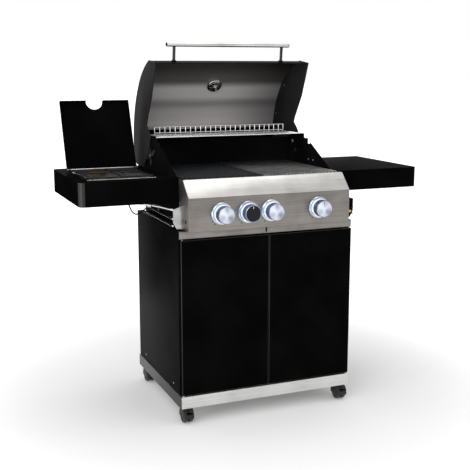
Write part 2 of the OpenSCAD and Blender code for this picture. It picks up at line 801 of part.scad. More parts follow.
module hinge_brackets() {
    color("silver") both_sides() difference() {
        plate_x(fire_x, fire_x + 1.2) polygon([[pivot_y - 52, pivot_z + 22], [pivot_y - 44, pivot_z + 26],
            [pivot_y + 8, pivot_z + 10], [pivot_y + 10, pivot_z - 6], [pivot_y + 10, pivot_z - 34],
            [pivot_y + 2, pivot_z - 36], [pivot_y - 10, pivot_z - 8]]);
        rod_x(fire_x - cut, fire_x + 3 * cut, pivot_y, pivot_z, hood_pin_r);
    }
}

module hinge_pins() {
    color("silver") both_sides() {
        rod_x(fire_x - firebox_t - 4, shell_x + 4, pivot_y, pivot_z, hood_pin_r);
        rod_x(fire_x - firebox_t - 4, fire_x - firebox_t, pivot_y, pivot_z, hood_pin_r + 4);
        rod_x(shell_x + 1, shell_x + 4, pivot_y, pivot_z, hood_pin_r + 3);
    }
}

// ---- side shelves and side burner ----

// A shelf is a folded tray turned over, cut back above the ledge so that the hood passes
module shelf(depth, corner) {
    low = shelf_top - depth;
    t = sheet_t;
    difference() {
        union() {
            translate([0, 0, low]) linear_extrude(height = depth) hull() {
                block_2d([fire_x, shelf_front], [shelf_x1 - corner, shelf_rear]);
                for (y = [shelf_front + corner, shelf_rear - corner]) translate([shelf_x1 - corner, y]) circle(corner);
            }
        }
        translate([0, 0, low - cut]) linear_extrude(height = depth - t + cut) hull() {
            block_2d([fire_x + t, shelf_front + t], [shelf_x1 - corner, shelf_rear - t]);
            for (y = [shelf_front + corner, shelf_rear - corner])
                translate([shelf_x1 - corner, y]) circle(corner - t);
        }
        block([fire_x - cut, shelf_front - cut, ledge_z], [shelf_x0, shelf_rear + cut, shelf_top + cut]);
        block([fire_x - cut, fire_rear, low - cut], [fire_x + t + cut, shelf_rear - t, ledge_z + cut]);
    }
}

module block_2d(low, high) {
    translate(low) square(high - low);
}

module left_shelf() {
    color("black") {
        difference() {
            mirror([1, 0, 0]) shelf(left_skirt, 22);
            block([pan_x - pan_w / 2 + 8, pan_y - pan_d / 2 + 8, shelf_top - 4],
                  [pan_x + pan_w / 2 - 8, pan_y + pan_d / 2 - 8, shelf_top + cut]);
        }
        // lugs for the cover's pin
        for (side = [-1, 1]) difference() {
            union() {
                block([pan_x + side * (cover_w / 2 - 8) - 2, cover_axis_y - 5, shelf_top - 1],
                      [pan_x + side * (cover_w / 2 - 8) + 2, cover_axis_y + 5, cover_axis_z]);
                rod_x(pan_x + side * (cover_w / 2 - 8) - 2, pan_x + side * (cover_w / 2 - 8) + 2,
                      cover_axis_y, cover_axis_z, 5);
            }
            rod_x(pan_x - cover_w, pan_x + cover_w, cover_axis_y, cover_axis_z, cover_pin_r);
        }
    }
}

module right_shelf() {
    color("black") shelf(right_skirt, 8);
}

// The lid of the side burner, drawn closed and turned open about its pin
module burner_cover() {
    front = cover_axis_y - cover_l;
    z0 = cover_axis_z + 2;
    z1 = cover_axis_z + cover_h;
    color("black") opened(cover_axis_y, cover_axis_z, cover_open) difference() {
        union() {
            difference() {
                block([pan_x - cover_w / 2, front, z0], [pan_x + cover_w / 2, cover_axis_y - 5, z1]);
                block([pan_x - cover_w / 2 + sheet_t, front + sheet_t, z0 - cut],
                      [pan_x + cover_w / 2 - sheet_t, cover_axis_y, z1 - sheet_t]);
            }
            for (side = [-1, 1]) translate([pan_x + side * (cover_w / 2 - sheet_t / 2), 0, 0]) {
                rod_x(-sheet_t / 2, sheet_t / 2, cover_axis_y, cover_axis_z, 5.5);
                plate_x(-sheet_t / 2, sheet_t / 2)
                    polygon([[cover_axis_y - 24, z0], [cover_axis_y - 3, cover_axis_z - 4.5],
                             [cover_axis_y + 3, cover_axis_z + 4.5], [cover_axis_y - 5, z1], [cover_axis_y - 24, z1]]);
            }
        }
        rod_x(pan_x - cover_w, pan_x + cover_w, cover_axis_y, cover_axis_z, cover_pin_r + run_fit);
        rod_z(pan_x, front, z0 - cut, z1 + cut, 31);
    }
}

module cover_pin() {
    color("silver") {
        rod_x(pan_x - cover_w / 2 - 2, pan_x + cover_w / 2 + 2, cover_axis_y, cover_axis_z, cover_pin_r);
        for (side = [-1, 1]) translate([pan_x + side * (cover_w / 2 + 1.5), 0, 0])
            rod_x(-1, 1, cover_axis_y, cover_axis_z, cover_pin_r + 1.5);
    }
}

module side_burner_pan() {
    bowl = 28;
    t = 1.2;
    in = 9;
    color("silver") difference() {
        union() {
            block([pan_x - pan_w / 2, pan_y - pan_d / 2, shelf_top], [pan_x + pan_w / 2, pan_y + pan_d / 2, shelf_top + t]);
            block([pan_x - pan_w / 2 + in, pan_y - pan_d / 2 + in, shelf_top - bowl],
                  [pan_x + pan_w / 2 - in, pan_y + pan_d / 2 - in, shelf_top + t]);
        }
        block([pan_x - pan_w / 2 + in + t, pan_y - pan_d / 2 + in + t, shelf_top - bowl + t],
              [pan_x + pan_w / 2 - in - t, pan_y + pan_d / 2 - in - t, shelf_top + 2 * t]);
        rod_z(pan_x, pan_y, shelf_top - bowl - cut, shelf_top, 14);
    }
}

// The burner's cup stands through the pan on its pipe, under a spreader cap
module side_burner_head() {
    low = shelf_top - 28 + 1.2;
    color("goldenrod") translate([pan_x, pan_y, 0]) difference() {
        union() {
            rod_z(0, 0, low - 3.2, low + 4, 12);
            rod_z(0, 0, low, low + 10, 34);
            rod_z(0, 0, low + 9, low + 14, 27);
        }
        for (n = [0 : 23]) rotate([0, 0, n * 15]) rod_x(24, 40, 0, low + 10.5, 1.5);
    }
}

// A square wire frame with four fingers towards the middle
module pan_support() {
    r = 3;
    half = 100;
    z = shelf_top + 1.2 + seat_gap + r;
    color("dimgray") translate([pan_x, pan_y, 0]) {
        for (side = [-1, 1]) {
            rod_x(-pan_w / 2 + 4, pan_w / 2 - 4, side * half, z, r);
            rod_y(side * half, -pan_d / 2 + 4, pan_d / 2 - 4, z, r);
            rod_y(0, side > 0 ? 22 : -half, side > 0 ? half : -22, z + 4.5, r);
            rod_x(side > 0 ? 22 : -half, side > 0 ? half : -22, 0, z + 4.5, r);
        }
    }
}

module side_burner_pipe() {
    route = placed(pipe_route);
    color("silver") {
        sweep(route, pipe_r);
        // union nut
        translate(route[pipe_nut]) rotate([0, 90, 129]) cylinder(h = 14, r = 8.5, center = true);
    }
}

module side_burner_lead() {
    route = placed(lead_route);
    color("black") {
        sweep(route, lead_r);
        translate(route[len(route) - 1]) rotate([0, 90, 0]) cylinder(h = 6, r = lead_boot_r);
        translate(route[0]) cylinder(h = 3, r = lead_boot_r);
    }
}

// ---- rails and screws ----

module tool_rails() {
    color("silver") both_sides() {
        for (z = [rail_low, rail_top]) rod_y(rail_x, bracket_y, rail_back, z, rail_r);
        block([rail_x - 4, rail_back - 5, rail_low - 6], [rail_x + 4, rail_back + 5, rail_top + 6]);
        rod_x(fire_x + 2, rail_x, rail_back, (rail_low + rail_top) / 2, rail_r + 1);
        rod_x(fire_x, fire_x + 3, rail_back, (rail_low + rail_top) / 2, 12);
    }
}

module rail_brackets() {
    color("black") both_sides() {
        plate_y(bracket_y - 2.5, bracket_y)
            polygon([[plate_x, cab_top + 88], [plate_x + 40, cab_top + 74], [plate_x + 40, cab_top + 30],
                     [plate_x + 28, cab_top + 8], [plate_x, cab_top + 4]]);
        block([plate_x, bracket_y - 1, cab_top + 4], [plate_x + 1.5, bracket_y + 12, cab_top + 88]);
    }
}

// Round screw heads that can be seen, each a separate piece
module screws() {
    color("silver") both_sides() {
        for (y = [fire_rear - 195, fire_rear - 234])
            rod_x(fire_x - firebox_t - screw_h, fire_x - firebox_t, y, rim_z + 20, screw_r);
        rod_x(fire_x - firebox_t - screw_h, fire_x - firebox_t, fire_rear - 54, rim_z + 80, 7);
        for (z = [cab_top + 22, cab_top + 70]) rod_x(plate_x + 1.5, plate_x + 1.5 + screw_h, bracket_y + 7, z, screw_r);
        for (y = [-1, 1]) rod_x(side_x, side_x + screw_h, y * 170, base_top + 24, screw_r);
    }
}

// Moves a piece from the cabinet's middle to the middle of the whole
module in_frame() {
    translate([0, frame_y, 0]) children();
}

in_frame() cart_base();
in_frame() left_side_panel();
in_frame() right_side_panel();
in_frame() back_panel();
in_frame() front_rail();
in_frame() door_catch();
in_frame() left_door();
in_frame() right_door();
in_frame() door_pins();
in_frame() caster_plates();
in_frame() caster_hood(0);  // caster_hood_fl
in_frame() caster_hood(1);  // caster_hood_fr
in_frame() caster_hood(2);  // caster_hood_rl
in_frame() caster_hood(3);  // caster_hood_rr
in_frame() caster_wheels(0);  // caster_wheels_fl
in_frame() caster_wheels(1);  // caster_wheels_fr
in_frame() caster_wheels(2);  // caster_wheels_rl
in_frame() caster_wheels(3);  // caster_wheels_rr
in_frame() brake_pedal(0);  // brake_pedal_fl
in_frame() brake_pedal(1);  // brake_pedal_fr
in_frame() firebox();
in_frame() main_burners();
in_frame() flame_tamers();
in_frame() cooking_grate_left();
in_frame() cooking_grate_right();
in_frame() warming_rack();
in_frame() drip_tray();
in_frame() grease_cup();
in_frame() manifold();
in_frame() gas_valves();
in_frame() control_panel();
in_frame() panel_end_plates();
in_frame() knob_bezels();
in_frame() valve_stem(0);  // valve_stem_1
in_frame() valve_stem(1);  // valve_stem_2
in_frame() valve_stem(2);  // valve_stem_3
in_frame() valve_stem(3);  // valve_stem_4
in_frame() knob(0);  // knob_1
in_frame() knob(1);  // knob_2
in_frame() knob(2);  // knob_3
in_frame() knob(3);  // knob_4
in_frame() hood_shell();
in_frame() hood_caps();
in_frame() hood_handle();
in_frame() handle_posts();
in_frame() thermometer();
in_frame() hinge_brackets();
in_frame() hinge_pins();
in_frame() left_shelf();
in_frame() right_shelf();
in_frame() burner_cover();
in_frame() cover_pin();
in_frame() side_burner_pan();
in_frame() side_burner_head();
in_frame() pan_support();
in_frame() side_burner_pipe();
in_frame() side_burner_lead();
in_frame() tool_rails();
in_frame() rail_brackets();
in_frame() screws();
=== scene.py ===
"""Looks of a gas barbecue grill on a wheeled cabinet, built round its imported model.

Every place comes from the model's own boxes and joints; lengths are in metres unless a
name ends in _mm. Each sub-assembly is a class, and each finish is a frozen dataclass.
"""

from __future__ import annotations

import json
import logging
import math
from dataclasses import dataclass, field
from enum import Enum
from typing import Callable, Iterable, Sequence

import bmesh
import bpy
from mathutils import Matrix, Vector


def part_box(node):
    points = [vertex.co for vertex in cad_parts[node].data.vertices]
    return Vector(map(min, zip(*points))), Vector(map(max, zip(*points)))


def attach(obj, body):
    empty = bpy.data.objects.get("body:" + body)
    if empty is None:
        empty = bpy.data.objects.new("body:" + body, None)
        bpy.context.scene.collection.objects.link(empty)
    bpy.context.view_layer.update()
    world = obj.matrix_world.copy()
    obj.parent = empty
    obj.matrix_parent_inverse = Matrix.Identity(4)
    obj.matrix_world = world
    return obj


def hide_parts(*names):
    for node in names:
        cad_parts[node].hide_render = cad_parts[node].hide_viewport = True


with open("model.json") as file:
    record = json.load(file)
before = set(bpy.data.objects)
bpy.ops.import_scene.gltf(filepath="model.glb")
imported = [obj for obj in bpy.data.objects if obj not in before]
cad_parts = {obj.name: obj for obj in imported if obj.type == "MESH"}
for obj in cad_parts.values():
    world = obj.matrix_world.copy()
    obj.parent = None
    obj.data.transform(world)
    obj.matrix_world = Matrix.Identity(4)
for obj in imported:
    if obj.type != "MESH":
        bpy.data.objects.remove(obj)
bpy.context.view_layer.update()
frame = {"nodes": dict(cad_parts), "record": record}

log = logging.getLogger("grill")
MM = 0.001
BODY_OF = {n: b for b, ns in frame["record"]["behaviour"]["bodies"].items() for n in ns}
SLOT_OF = {s["node"]: s["material_slot"] for s in frame["record"]["subparts"]}
# height that a finish's relief stands for
GRAIN_HEIGHT = 0.2 * MM


class Axis(Enum):
    """The direction in which a finish was brushed or drawn."""

    X = 0
    Y = 1
    Z = 2


# ---- colours and nodes ----


def linear(hex_colour: str) -> tuple[float, float, float, float]:
    """Turn an sRGB hex colour into linear RGBA.

    Args:
        hex_colour: Six hex digits, such as "C8C4BE".

    Returns:
        The colour as four linear values.
    """
    values = [int(hex_colour[i : i + 2], 16) / 255 for i in (0, 2, 4)]
    rgb = [v / 12.92 if v <= 0.04045 else ((v + 0.055) / 1.055) ** 2.4 for v in values]
    return (*rgb, 1.0)


def feed(tree: bpy.types.NodeTree, target: bpy.types.Node, **inputs: object) -> None:
    """Link outputs to a node's sockets, or set their values.

    Args:
        tree: The tree that holds the node.
        target: The node that is fed.
        **inputs: Socket names, with _ for a space, or inN for input N; each holds a value
            or an output socket.
    """
    for key, value in inputs.items():
        numbered = key[:2] == "in" and key[2:].isdigit()
        socket = target.inputs[int(key[2:]) if numbered else key.replace("_", " ")]
        if isinstance(value, bpy.types.NodeSocket):
            tree.links.new(value, socket)
        else:
            socket.default_value = value


def add_node(tree: bpy.types.NodeTree, kind: str, settings: dict | None = None,
             **inputs: object) -> bpy.types.Node:
    """Add a shader node with its settings and links.

    Args:
        tree: The tree that the node goes into.
        kind: The node's type name.
        settings: Attributes of the node.
        **inputs: What its sockets get, named as feed names them.

    Returns:
        The new node.
    """
    new = tree.nodes.new(kind)
    for key, value in (settings or {}).items():
        setattr(new, key, value)
    feed(tree, new, **inputs)
    return new


def scale_of(size_mm: float) -> float:
    """Return the scale at which a noise's features are about a size in millimetres."""
    return 1000 / size_mm


def set_ramp(ramp: bpy.types.Node, stops: Sequence[tuple[float, tuple[float, float, float, float]]]) -> None:
    """Give a colour ramp its stops, each a place and a linear colour."""
    elements = ramp.color_ramp.elements
    while len(elements) < len(stops):
        elements.new(0.5)
    for element, (place, colour) in zip(elements, stops):
        element.position = place
        element.color = colour


@dataclass(frozen=True)
class Finish:
    """What every finish shares: its name, how its gloss spreads, and a shader that it fills in."""

    name: str
    roughness: float = 0.3
    # how far the pattern takes the roughness down and up
    smoother: float = 0.05
    rougher: float = 0.08
    relief: float = 0.1

    def surface(self, tree: bpy.types.NodeTree, shader: bpy.types.Node) -> None:
        """Wire the pattern into the shader."""
        raise NotImplementedError

    def skin(self, tree: bpy.types.NodeTree, shader: bpy.types.Node, colour: bpy.types.NodeSocket,
             gloss_by: bpy.types.NodeSocket, raised_by: bpy.types.NodeSocket | None = None,
             **sockets: object) -> None:
        """Feed the shader a colour, an uneven gloss and a relief.

        Args:
            tree: The material's tree.
            shader: Its shader.
            colour: The output that holds its colour.
            gloss_by: The output that makes its gloss uneven.
            raised_by: The output that raises its surface, if any does.
            **sockets: Other sockets of the shader, with their values.
        """
        rough = add_node(tree, "ShaderNodeMapRange", Value=gloss_by, To_Min=self.roughness - self.smoother,
                         To_Max=self.roughness + self.rougher)
        feed(tree, shader, Base_Color=colour, Roughness=rough.outputs[0], **sockets)
        if raised_by is not None:
            bump = add_node(tree, "ShaderNodeBump", Strength=self.relief, Distance=GRAIN_HEIGHT,
                            Height=raised_by)
            feed(tree, shader, Normal=bump.outputs[0])

    def build(self) -> bpy.types.Material:
        """Make the material once and return it from then on."""
        material = bpy.data.materials.get(self.name)
        if material is None:
            material = bpy.data.materials.new(self.name)
            material.use_nodes = True
            shader = material.node_tree.nodes["Principled BSDF"]
            self.surface(material.node_tree, shader)
        return material


@dataclass(frozen=True)
class BrushedSteel(Finish):
    """Stainless sheet brushed in one direction: soft streaks and faint broad clouds."""

    rougher: float = 0.09
    relief: float = 0.12
    pale: str = "D6D2CC"
    deep: str = "B0ABA4"
    along: Axis = Axis.X
    # real brushing is near 0.3 mm; drawn at 2.5 mm so that it shows
    streak_mm: float = 2.5
    length_mm: float = 220.0
    cloud_mm: float = 90.0
    cloud_share: float = 0.45

    def streaks(self, tree: bpy.types.NodeTree, place: bpy.types.NodeSocket) -> bpy.types.NodeSocket:
        """Return a noise that is stretched along the brushing."""
        scale = [scale_of(self.streak_mm)] * 3
        scale[self.along.value] = scale_of(self.length_mm)
        stretched = add_node(tree, "ShaderNodeMapping", Vector=place, Scale=scale).outputs[0]
        return add_node(tree, "ShaderNodeTexNoise", Vector=stretched, Scale=1.0, Detail=3.0).outputs["Fac"]

    def surface(self, tree: bpy.types.NodeTree, shader: bpy.types.Node) -> None:
        """Lay the clouds over the brushing."""
        place = add_node(tree, "ShaderNodeTexCoord").outputs["Object"]
        streaks = self.streaks(tree, place)
        clouds = add_node(tree, "ShaderNodeTexNoise", Vector=place, Scale=scale_of(self.cloud_mm), Detail=2.0)
        weighed = add_node(tree, "ShaderNodeMath", {"operation": "MULTIPLY"}, in0=streaks,
                           in1=1 - self.cloud_share)
        both = add_node(tree, "ShaderNodeMath", {"operation": "MULTIPLY_ADD"}, in0=clouds.outputs["Fac"],
                        in1=self.cloud_share, in2=weighed.outputs[0])
        ramp = add_node(tree, "ShaderNodeValToRGB", Fac=both.outputs[0])
        set_ramp(ramp, [(0.34, linear(self.deep)), (0.62, linear(self.pale))])
        self.skin(tree, shader, ramp.outputs[0], streaks, streaks, Metallic=1.0)


@dataclass(frozen=True)
class PowderCoat(Finish):
    """Baked powder paint and other dull black or grey skins: a fine orange peel with little gloss."""

    roughness: float = 0.36
    smoother: float = 0.04
    rougher: float = 0.06
    relief: float = 0.18
    colour: str = "070707"
    worn: str = "0C0C0C"
    peel_mm: float = 2.2
    wear_mm: float = 143.0
    # specular level: next to none on the dull sheets, more on folds, castings and mouldings
    shine: float = 0.0006

    def surface(self, tree: bpy.types.NodeTree, shader: bpy.types.Node) -> None:
        """Lay the peel as relief and a broad, faint change of colour and gloss."""
        place = add_node(tree, "ShaderNodeTexCoord").outputs["Object"]
        peel = add_node(tree, "ShaderNodeTexNoise", Vector=place, Scale=scale_of(self.peel_mm), Detail=2.0)
        broad = add_node(tree, "ShaderNodeTexNoise", Vector=place, Scale=scale_of(self.wear_mm), Detail=3.0)
        ramp = add_node(tree, "ShaderNodeValToRGB", Fac=broad.outputs["Fac"])
        set_ramp(ramp, [(0.35, linear(self.colour)), (0.7, linear(self.worn))])
        self.skin(tree, shader, ramp.outputs[0], broad.outputs["Fac"], peel.outputs["Fac"],
                  Specular_IOR_Level=self.shine)


@dataclass(frozen=True)
class PlainMetal(Finish):
    """Plated, cast or turned metal: a fine grain with a little spread of gloss."""

    roughness: float = 0.22
    colour: str = "B8B8B8"
    deep: str = "8E8E8E"
    grain_mm: float = 1.5
    cloud_mm: float = 40.0

    def surface(self, tree: bpy.types.NodeTree, shader: bpy.types.Node) -> None:
        """Lay an even grain over the metal."""
        place = add_node(tree, "ShaderNodeTexCoord").outputs["Object"]
        grain = add_node(tree, "ShaderNodeTexNoise", Vector=place, Scale=scale_of(self.grain_mm), Detail=3.0)
        broad = add_node(tree, "ShaderNodeTexNoise", Vector=place, Scale=scale_of(self.cloud_mm), Detail=2.0)
        ramp = add_node(tree, "ShaderNodeValToRGB", Fac=broad.outputs["Fac"])
        set_ramp(ramp, [(0.3, linear(self.deep)), (0.62, linear(self.colour))])
        self.skin(tree, shader, ramp.outputs[0], grain.outputs["Fac"], grain.outputs["Fac"], Metallic=1.0)


@dataclass(frozen=True)
class FanMetal(Finish):
    """Aluminium brushed outwards from its middle, with pale and grey fans across its face as painted
    highlight.
    """

    roughness: float = 0.25
    # the blue-grey tint stands in for the lit ring's blue light: painted reflection
    pale: str = "CDD1DA"
    deep: str = "747C8E"
    grain_mm: float = 1.0
    grain_share: float = 0.3

    def surface(self, tree: bpy.types.NodeTree, shader: bpy.types.Node) -> None:
        """Mix the two greys by the piece's own painted_fan attribute, a painted highlight, with a fine grain
        in it.
        """
        place = add_node(tree, "ShaderNodeTexCoord").outputs["Object"]
        grain = add_node(tree, "ShaderNodeTexNoise", Vector=place, Scale=scale_of(self.grain_mm), Detail=2.0)
        painted_fan = add_node(tree, "ShaderNodeAttribute", {"attribute_name": "painted_fan"})
        both = add_node(tree, "ShaderNodeMath", {"operation": "MULTIPLY_ADD"}, in0=grain.outputs["Fac"],
                        in1=self.grain_share, in2=painted_fan.outputs["Fac"])
        ramp = add_node(tree, "ShaderNodeValToRGB", Fac=both.outputs[0])
        set_ramp(ramp, [(0.15, linear(self.deep)), (1.0, linear(self.pale))])
        self.skin(tree, shader, ramp.outputs[0], grain.outputs["Fac"], Metallic=1.0)


@dataclass(frozen=True)
class Lining(BrushedSteel):
    """The hood's brushed lining: duller than the fascia, with painted reflections of what it faces.

    The painted reflections run in soft bands along the sheet, and painted shade darkens them towards its
    right end, from every side alike.
    """

    roughness: float = 0.42
    metallic: float = 0.35
    # painted reflection and shade tones from the lining's lower edge to its front lip, over the open hood's
    # height
    painted_reflection_tones: tuple[tuple[float, str], ...] = (
        (0.0, "8A8484"), (0.1, "E6E0E0"), (0.26, "D8D2D2"), (0.4, "A8A4A4"),
        (0.52, "ECEAE9"), (0.62, "F2F0EF"), (0.74, "76736F"), (1.0, "3A3836"))
    low: float = 0.989
    high: float = 1.25
    # how far the brushing breaks up the edges of the bands
    ragged: float = 0.06
    # where the painted shade towards the right end starts and ends, and what it leaves of the tone there
    painted_shade_from: float = 0.0
    painted_shade_to: float = 0.33
    painted_shade_keeps: float = 0.42

    def surface(self, tree: bpy.types.NodeTree, shader: bpy.types.Node) -> None:
        """Paint the reflection tones by height, paint shade towards the right and draw the brushing across
        it.
        """
        place = add_node(tree, "ShaderNodeTexCoord").outputs["Object"]
        streaks = self.streaks(tree, place)
        spot = add_node(tree, "ShaderNodeSeparateXYZ", Vector=place).outputs
        level = add_node(tree, "ShaderNodeMapRange", Value=spot["Z"], From_Min=self.low, From_Max=self.high)
        shifted = add_node(tree, "ShaderNodeMath", {"operation": "MULTIPLY_ADD"}, in0=streaks,
                           in1=self.ragged, in2=level.outputs[0])
        ramp = add_node(tree, "ShaderNodeValToRGB", Fac=shifted.outputs[0])
        ramp.color_ramp.interpolation = "EASE"
        set_ramp(ramp, [(height, linear(tone)) for height, tone in self.painted_reflection_tones])
        # painted shade: the tones darken towards the right end
        painted_shade = add_node(tree, "ShaderNodeMapRange", {"interpolation_type": "SMOOTHSTEP"}, Value=spot["X"],
                       From_Min=self.painted_shade_from, From_Max=self.painted_shade_to, To_Min=1.0, To_Max=self.painted_shade_keeps)
        toned = add_node(tree, "ShaderNodeVectorMath", {"operation": "SCALE"}, in0=ramp.outputs[0],
                         Scale=painted_shade.outputs[0])
        self.skin(tree, shader, toned.outputs[0], streaks, streaks, Metallic=self.metallic)


@dataclass(frozen=True)
class LitRing(Finish):
    """The milky blue-white ring of small lamps behind a knob, with a brighter patch at each lamp."""

    colour: str = "8FB4FF"
    bright: str = "F2F7FF"
    milk: str = "C7D6F2"
    glow: float = 0.75
    lamp_mm: float = 9.0

    def surface(self, tree: bpy.types.NodeTree, shader: bpy.types.Node) -> None:
        """Give the ring a soft glow that is uneven from lamp to lamp."""
        place = add_node(tree, "ShaderNodeTexCoord").outputs["Object"]
        lamps = add_node(tree, "ShaderNodeTexVoronoi", Vector=place, Scale=scale_of(self.lamp_mm))
        ramp = add_node(tree, "ShaderNodeValToRGB", Fac=lamps.outputs["Distance"])
        set_ramp(ramp, [(0.0, linear(self.bright)), (0.7, linear(self.colour))])
        feed(tree, shader, Base_Color=linear(self.milk), Roughness=self.roughness,
             Emission_Color=ramp.outputs[0], Emission_Strength=self.glow)


STAINLESS = BrushedSteel("stainless_sheet_brushed", pale="827E7A", deep="66625F", roughness=0.32)
# a brighter copy of the fascia's brushed steel for its slope and lip: painted light from above
FASCIA_TOP_PAINTED_LIGHT = BrushedSteel("stainless_fascia_top_painted_light", pale="C2C0BE", deep="A6A4A1", roughness=0.3)
BASE_FRONT = BrushedSteel("stainless_base_brushed", pale="DCDCDA", deep="C6C6C4", roughness=0.34)
# a darker copy of the base pan's brushed steel for its sides: painted shade
BASE_SIDE_PAINTED_SHADE = BrushedSteel("stainless_base_side_painted_shade", pale="5A5A59", deep="434342", along=Axis.Y, roughness=0.38)
PAN_STEEL = PlainMetal("stainless_pan_bright", colour="B9B9B9", deep="8E8E8E", roughness=0.16)
END_GREY = BrushedSteel("end_plate_brushed", pale="8C8A87", deep="706E6C", along=Axis.Z, roughness=0.4)
TUBE = BrushedSteel("stainless_tube_satin", pale="C9C9C8", deep="A2A2A1", roughness=0.2, streak_mm=1.6)
POST = PlainMetal("stainless_post_dark", colour="3C3C3C", deep="282828", roughness=0.18)
BLACK = PowderCoat("powder_coat_black")
FOLD = PowderCoat("powder_coat_black_fold", roughness=0.3, shine=0.35)
# a lighter copy of the black powder coat for the side panels: painted light for the sheen they catch
BLACK_SIDE_PAINTED_LIGHT = PowderCoat("powder_coat_black_side_painted_light", colour="0A0A0A", worn="151515", roughness=0.4, shine=0.008)
ENAMEL = PowderCoat("porcelain_enamel_black", colour="0B0B0C", worn="141415", roughness=0.5, peel_mm=3.0)
BAR_BLACK = PowderCoat("enamelled_bar_black", colour="18191B", worn="232528", roughness=0.42, peel_mm=2.0,
                       shine=0.3)
BAR_GREY = PlainMetal("enamelled_bar_grey", colour="AEAEAE", deep="8A8A8A", roughness=0.34)
CAP = PowderCoat("cast_cap_grey", colour="242425", worn="2E2E2F", roughness=0.5, peel_mm=2.6, shine=0.04)
WIRE = PlainMetal("chromed_wire", colour="C4C4C4", deep="9A9A9A", roughness=0.16)
CAST = PowderCoat("cast_support_black", colour="0C0C0D", worn="151516", roughness=0.5, peel_mm=1.6, shine=0.2)
ZINC = PlainMetal("zinc_plated_steel", colour="B4B4B2", deep="8F8F8D", roughness=0.3)
BRASS = PlainMetal("turned_brass", colour="C9A45C", deep="9C7B3E", roughness=0.3)
# the barrel's blue-grey stands in for the lit ring's blue light in the chrome: painted reflection
KNOB = PlainMetal("knob_satin_chrome", colour="A9B2C8", deep="6E7894", roughness=0.24)
KNOB_FACE = FanMetal("knob_face_painted_fan_highlight")
BEZEL = PlainMetal("bezel_bright_chrome", colour="C6C6C8", deep="A9A9AC", roughness=0.12)
KNOB_DARK = PowderCoat("knob_dark_face", colour="030408", worn="07080D", roughness=0.22, shine=0.2)
GREY_NYLON = PowderCoat("nylon_caster_grey", colour="242425", worn="323233", roughness=0.5, shine=0.25)
WHEEL_NYLON = PowderCoat("nylon_wheel_grey", colour="343435", worn="444445", roughness=0.5, shine=0.3)
PLASTIC = PowderCoat("moulded_plastic_black", colour="0C0C0C", worn="161616", roughness=0.4)
RUBBER = PowderCoat("insulated_lead_black", colour="0A0A0A", worn="141414", roughness=0.45)
GLOW = LitRing("lit_ring_blue")
DARK_MARK = PowderCoat("printed_mark_dark", colour="101010", worn="181818", roughness=0.6)
PALE_MARK = PowderCoat("printed_mark_pale", colour="E8EAF0", worn="F2F4F8", roughness=0.4)
LINER = Lining("stainless_hood_lining")

# The finish of each material slot of the record
SLOT_FINISH: dict[str, Finish] = {
    "stainless_sheet": STAINLESS, "stainless_tube": TUBE, "black_enamel": BLACK, "fire_enamel": ENAMEL,
    "grate_steel": BAR_GREY, "cap_grey": CAP, "chromed_wire": WIRE, "cast_grate": CAST, "zinc_steel": ZINC,
    "brass": BRASS, "knob_metal": KNOB, "knob_dark": KNOB, "gauge_steel": TUBE, "caster_plastic": GREY_NYLON,
    "wheel_plastic": WHEEL_NYLON, "black_plastic": PLASTIC, "lead_rubber": RUBBER,
}

# Nodes whose finish isn't their slot's
NODE_FINISH: dict[str, Finish] = {
    "cart_base": BASE_FRONT, "panel_end_plates": END_GREY, "handle_posts": POST, "side_burner_pan": PAN_STEEL,
    "left_side_panel": BLACK_SIDE_PAINTED_LIGHT, "right_side_panel": BLACK_SIDE_PAINTED_LIGHT, "cooking_grate_left": BAR_BLACK,
}


# ---- meshes ----

# faces that meet at more than this have a sharp edge, and at less than the next one are one flat face
SHARP_DEG = 40
FLAT_DEG = 0.3
# points nearer than this are one point, in a CAD mesh and in a spun one
SAME_POINT = 5e-6
TINY = 1e-6


def finish_of(node: str) -> Finish:
    """Return the finish that a CAD node wears."""
    return NODE_FINISH.get(node, SLOT_FINISH[SLOT_OF[node]])


def keep_piece(bm: bmesh.types.BMesh, name: str, finishes: Sequence[Finish], body: str,
               stands_for: Iterable[str] = (), smooth_deg: float = 35.0) -> bpy.types.Object:
    """Turn a finished bmesh into a piece that rides on a body.

    Args:
        bm: The shape, in the row frame; it is freed here.
        name: The piece's name.
        finishes: Its finishes, in the order of the faces' material numbers.
        body: The CAD body that it moves with.
        stands_for: The CAD nodes that it replaces.
        smooth_deg: Faces that meet at less than this are shaded as one surface.

    Returns:
        The new object.
    """
    mesh = bpy.data.meshes.new(name)
    for face in bm.faces:
        face.smooth = True
    limit = math.radians(smooth_deg)
    for edge in bm.edges:
        edge.smooth = len(edge.link_faces) == 2 and edge.calc_face_angle(math.pi) < limit
    bm.to_mesh(mesh)
    bm.free()
    for finish in finishes:
        mesh.materials.append(finish.build())
    piece = bpy.data.objects.new(name, mesh)
    bpy.context.scene.collection.objects.link(piece)
    if stands_for:
        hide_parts(*stands_for)
    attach(piece, body)
    log.info("%s: %d faces on %s", name, len(mesh.polygons), body)
    return piece


def copy_of(node: str) -> bmesh.types.BMesh:
    """Return a merged copy of a CAD node's mesh, with its flat faces made whole."""
    bm = bmesh.new()
    bm.from_mesh(frame["nodes"][node].data)
    bmesh.ops.remove_doubles(bm, verts=bm.verts, dist=SAME_POINT)
    bmesh.ops.dissolve_degenerate(bm, edges=bm.edges, dist=TINY)
    bmesh.ops.dissolve_limit(bm, angle_limit=math.radians(FLAT_DEG), verts=bm.verts, edges=bm.edges,
                             delimit={"NORMAL"})
    return bm


